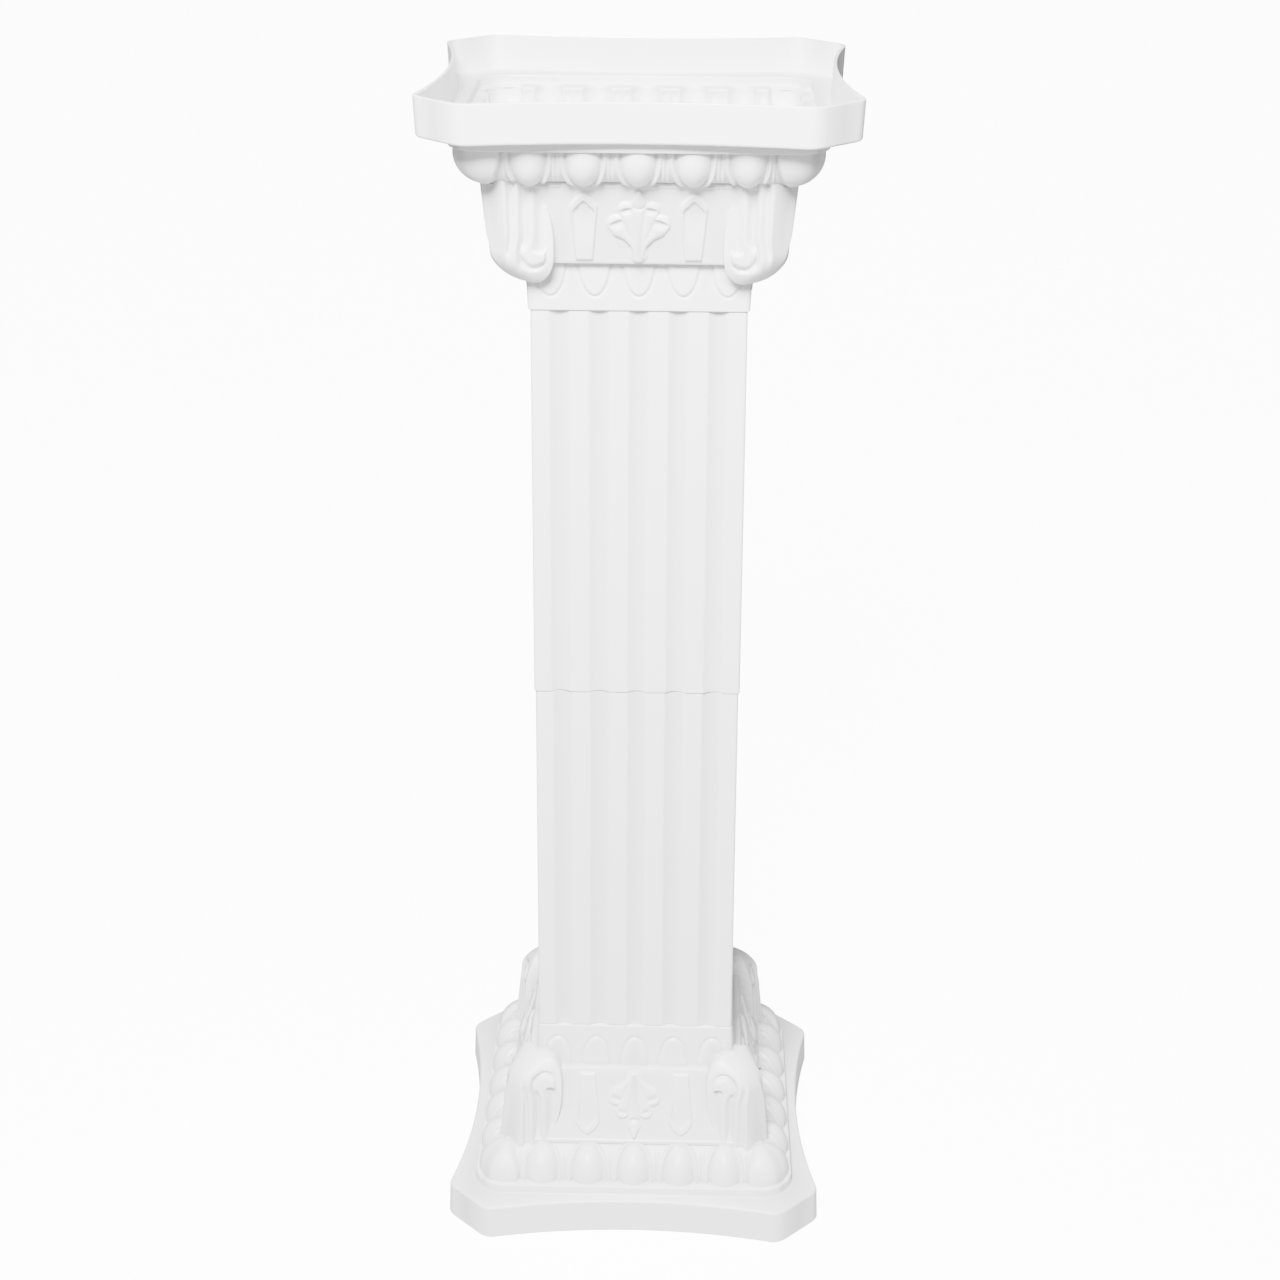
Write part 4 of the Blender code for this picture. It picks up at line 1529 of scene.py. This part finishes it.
@dataclass(frozen=True)
class SatinPlastic:
    """White moulded plastic with a satin face, with shade painted into its hollows."""

    name: str
    face: tuple[float, float, float] = (0.76, 0.76, 0.76)
    # the painted shade's colour and strength in the hollows
    hollow: tuple[float, float, float] = (0.50, 0.50, 0.50)
    painted_shade_amount: float = 0.6
    gloss: tuple[float, float] = (0.36, 0.48)
    unevenness: tuple[float, float] = (0.3, 0.7)
    refraction: float = 1.48
    tooth: float = 0.12
    flow: float = 0.12

    def material(
        self, grain: bpy.types.ShaderNodeTree, painted_shade_group: bpy.types.ShaderNodeTree
    ) -> bpy.types.Material:
        """The finish as a node material.

        Args:
            grain: the shared group for the moulded grain.
            painted_shade_group: the shared group for the shade painted into the hollows.

        Returns:
            The material.
        """
        material = bpy.data.materials.new(self.name)
        material.use_nodes = True
        nodes, links = material.node_tree.nodes, material.node_tree.links
        shader = nodes["Principled BSDF"]
        shader.inputs["IOR"].default_value = self.refraction
        texture = nodes.new("ShaderNodeGroup")
        texture.node_tree = grain
        texture.inputs["Tooth Strength"].default_value = self.tooth
        texture.inputs["Flow Strength"].default_value = self.flow
        # the painted shade: the face colour darkened in the hollows
        shade = nodes.new("ShaderNodeGroup")
        shade.node_tree = painted_shade_group
        shade.inputs["Face"].default_value = (*self.face, 1.0)
        shade.inputs["Painted Shade"].default_value = (*self.hollow, 1.0)
        shade.inputs["Amount"].default_value = self.painted_shade_amount
        gloss = nodes.new("ShaderNodeMapRange")
        labels = ("From Min", "From Max", "To Min", "To Max")
        for label, value in zip(labels, self.unevenness + self.gloss):
            gloss.inputs[label].default_value = value
        links.new(texture.outputs["Unevenness"], gloss.inputs["Value"])
        links.new(gloss.outputs["Result"], shader.inputs["Roughness"])
        links.new(texture.outputs["Normal"], shader.inputs["Normal"])
        links.new(shade.outputs["Colour"], shader.inputs["Base Color"])
        return material


def dress(piece: bpy.types.Object, node: str, finish: bpy.types.Material) -> None:
    """Gives a piece its finish and tells the frame what it is.

    Args:
        piece: the new piece.
        node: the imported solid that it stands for.
        finish: its material.
    """
    piece.data.materials.append(finish)
    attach(piece, BODY)
    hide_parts(node)


@dataclass(frozen=True)
class Lamp:
    """A soft round light: its place and width in metres, and its power in watts."""

    name: str
    place: tuple[float, float, float]
    width: float
    power: float


@dataclass(frozen=True)
class Studio:
    """The floor, the lights and the camera, in metres."""

    camera_place: tuple[float, float, float] = (0.0336, -1.5696, 1.1218)
    yaw: float = -0.0211
    pitch: float = 0.4072
    roll: float = 0.0059
    focal_pixels: float = 2258.6
    picture_pixels: float = 1280.0
    sensor_width: float = 36.0
    floor_half: float = 14.0
    floor_colour: tuple[float, float, float, float] = (0.40, 0.40, 0.40, 1.0)
    floor_roughness: float = 0.9
    white: tuple[float, float, float, float] = (1.0, 1.0, 1.0, 1.0)
    aim: tuple[float, float, float] = (0.0, 0.0, 0.5)
    backdrop_glow: float = 12.0
    sky_strength: float = 0.3
    lamps: tuple[Lamp, ...] = (
        Lamp("key", (-0.18, -1.2, 1.76), 0.6, 232.0),
        Lamp("fill", (0.3, -2.3, 0.8), 1.6, 8.0),
    )

    def floor(self) -> None:
        """A plain pale floor."""
        mesh = bpy.data.meshes.new("floor")
        half = self.floor_half
        corners = [(-half, -half, 0.0), (half, -half, 0.0), (half, half, 0.0), (-half, half, 0.0)]
        mesh.from_pydata(corners, [], [(0, 1, 2, 3)])
        floor = bpy.data.objects.new("floor", mesh)
        bpy.context.scene.collection.objects.link(floor)
        material = bpy.data.materials.new("pale_floor")
        material.use_nodes = True
        shader = material.node_tree.nodes["Principled BSDF"]
        shader.inputs["Base Color"].default_value = self.floor_colour
        shader.inputs["Roughness"].default_value = self.floor_roughness
        shader.inputs["Emission Color"].default_value = self.white
        glow = shader.inputs["Emission Strength"]
        self.brighten_when_seen(material.node_tree, glow, 0.0, self.backdrop_glow)
        mesh.materials.append(material)

    @staticmethod
    def brighten_when_seen(
        tree: bpy.types.NodeTree, strength: bpy.types.NodeSocket, lit: float, seen: float
    ) -> None:
        """Makes a glow that shows in the picture as a white backdrop but adds little light of its own.

        Args:
            tree: the node tree to add to.
            strength: the strength socket to set.
            lit: the strength by which it lights other things.
            seen: the strength at which it is seen.
        """
        path = tree.nodes.new("ShaderNodeLightPath")
        glow = tree.nodes.new("ShaderNodeMath")
        glow.operation = "MULTIPLY_ADD"
        glow.inputs[1].default_value = seen - lit
        glow.inputs[2].default_value = lit
        tree.links.new(path.outputs["Is Camera Ray"], glow.inputs[0])
        tree.links.new(glow.outputs[0], strength)

    def light(self) -> None:
        """Soft lights, each aimed at the middle of the stand, and a pale surrounding."""
        for lamp in self.lamps:
            data = bpy.data.lights.new(lamp.name, "AREA")
            data.shape = "DISK"
            data.size = lamp.width
            data.energy = lamp.power
            thing = bpy.data.objects.new(lamp.name, data)
            thing.location = lamp.place
            toward = Vector(self.aim) - Vector(lamp.place)
            thing.rotation_euler = toward.to_track_quat("-Z", "Y").to_euler()
            bpy.context.scene.collection.objects.link(thing)
        world = bpy.data.worlds.new("pale_studio")
        bpy.context.scene.world = world
        world.use_nodes = True
        background = world.node_tree.nodes["Background"]
        background.inputs["Color"].default_value = self.white
        glow = background.inputs["Strength"]
        self.brighten_when_seen(world.node_tree, glow, self.sky_strength, self.backdrop_glow)

    def camera(self) -> None:
        """The camera, at the viewing angle of the picture."""
        data = bpy.data.cameras.new("camera")
        data.sensor_width = self.sensor_width
        data.lens = self.focal_pixels / self.picture_pixels * data.sensor_width
        camera = bpy.data.objects.new("camera", data)
        level_share = math.cos(self.pitch)
        ahead = Vector((
            math.sin(self.yaw) * level_share, math.cos(self.yaw) * level_share, -math.sin(self.pitch)
        ))
        right = Vector((math.cos(self.yaw), -math.sin(self.yaw), 0.0))
        up = right.cross(ahead)
        tilted = right * math.cos(self.roll) + up * math.sin(self.roll)
        above = up * math.cos(self.roll) - right * math.sin(self.roll)
        turn = Matrix((tilted, above, -ahead)).transposed()
        camera.matrix_world = Matrix.Translation(self.camera_place) @ turn.to_4x4()
        bpy.context.scene.collection.objects.link(camera)
        bpy.context.scene.camera = camera

    def build(self) -> None:
        """Sets up the whole studio."""
        self.camera()
        self.floor()
        self.light()


def report(piece: bpy.types.Object) -> None:
    """Logs a finished piece's triangles and size."""
    size = ", ".join(f"{length / MM:.1f}" for length in piece.dimensions)
    log.info("%s: %d triangles, %s mm", piece.name, len(piece.data.polygons), size)


def main() -> None:
    """Builds the studio and the four mouldings."""
    Studio().build()
    grain, painted_shade_group = moulded_grain(), painted_hollow_shade()
    plastic = {
        name: SatinPlastic(name + "_plastic").material(grain, painted_shade_group)
        for name in ("base", "lower", "upper", "capital")
    }
    base, capital = EndMoulding(BASE_PALMETTE), EndMoulding(CAPITAL_PALMETTE)
    pieces = [
        base.build("base_moulding", "base", Stance.UPRIGHT, plastic["base"]),
        capital.build("capital_moulding", "capital", Stance.TURNED_OVER, plastic["capital"]),
        ShaftTube(with_tongue=True).build("lower_tube", "lower_shaft", plastic["lower"]),
        ShaftTube().build("upper_tube", "upper_shaft", plastic["upper"]),
    ]
    for piece in pieces:
        report(piece)


if __name__ == "__main__":
    main()
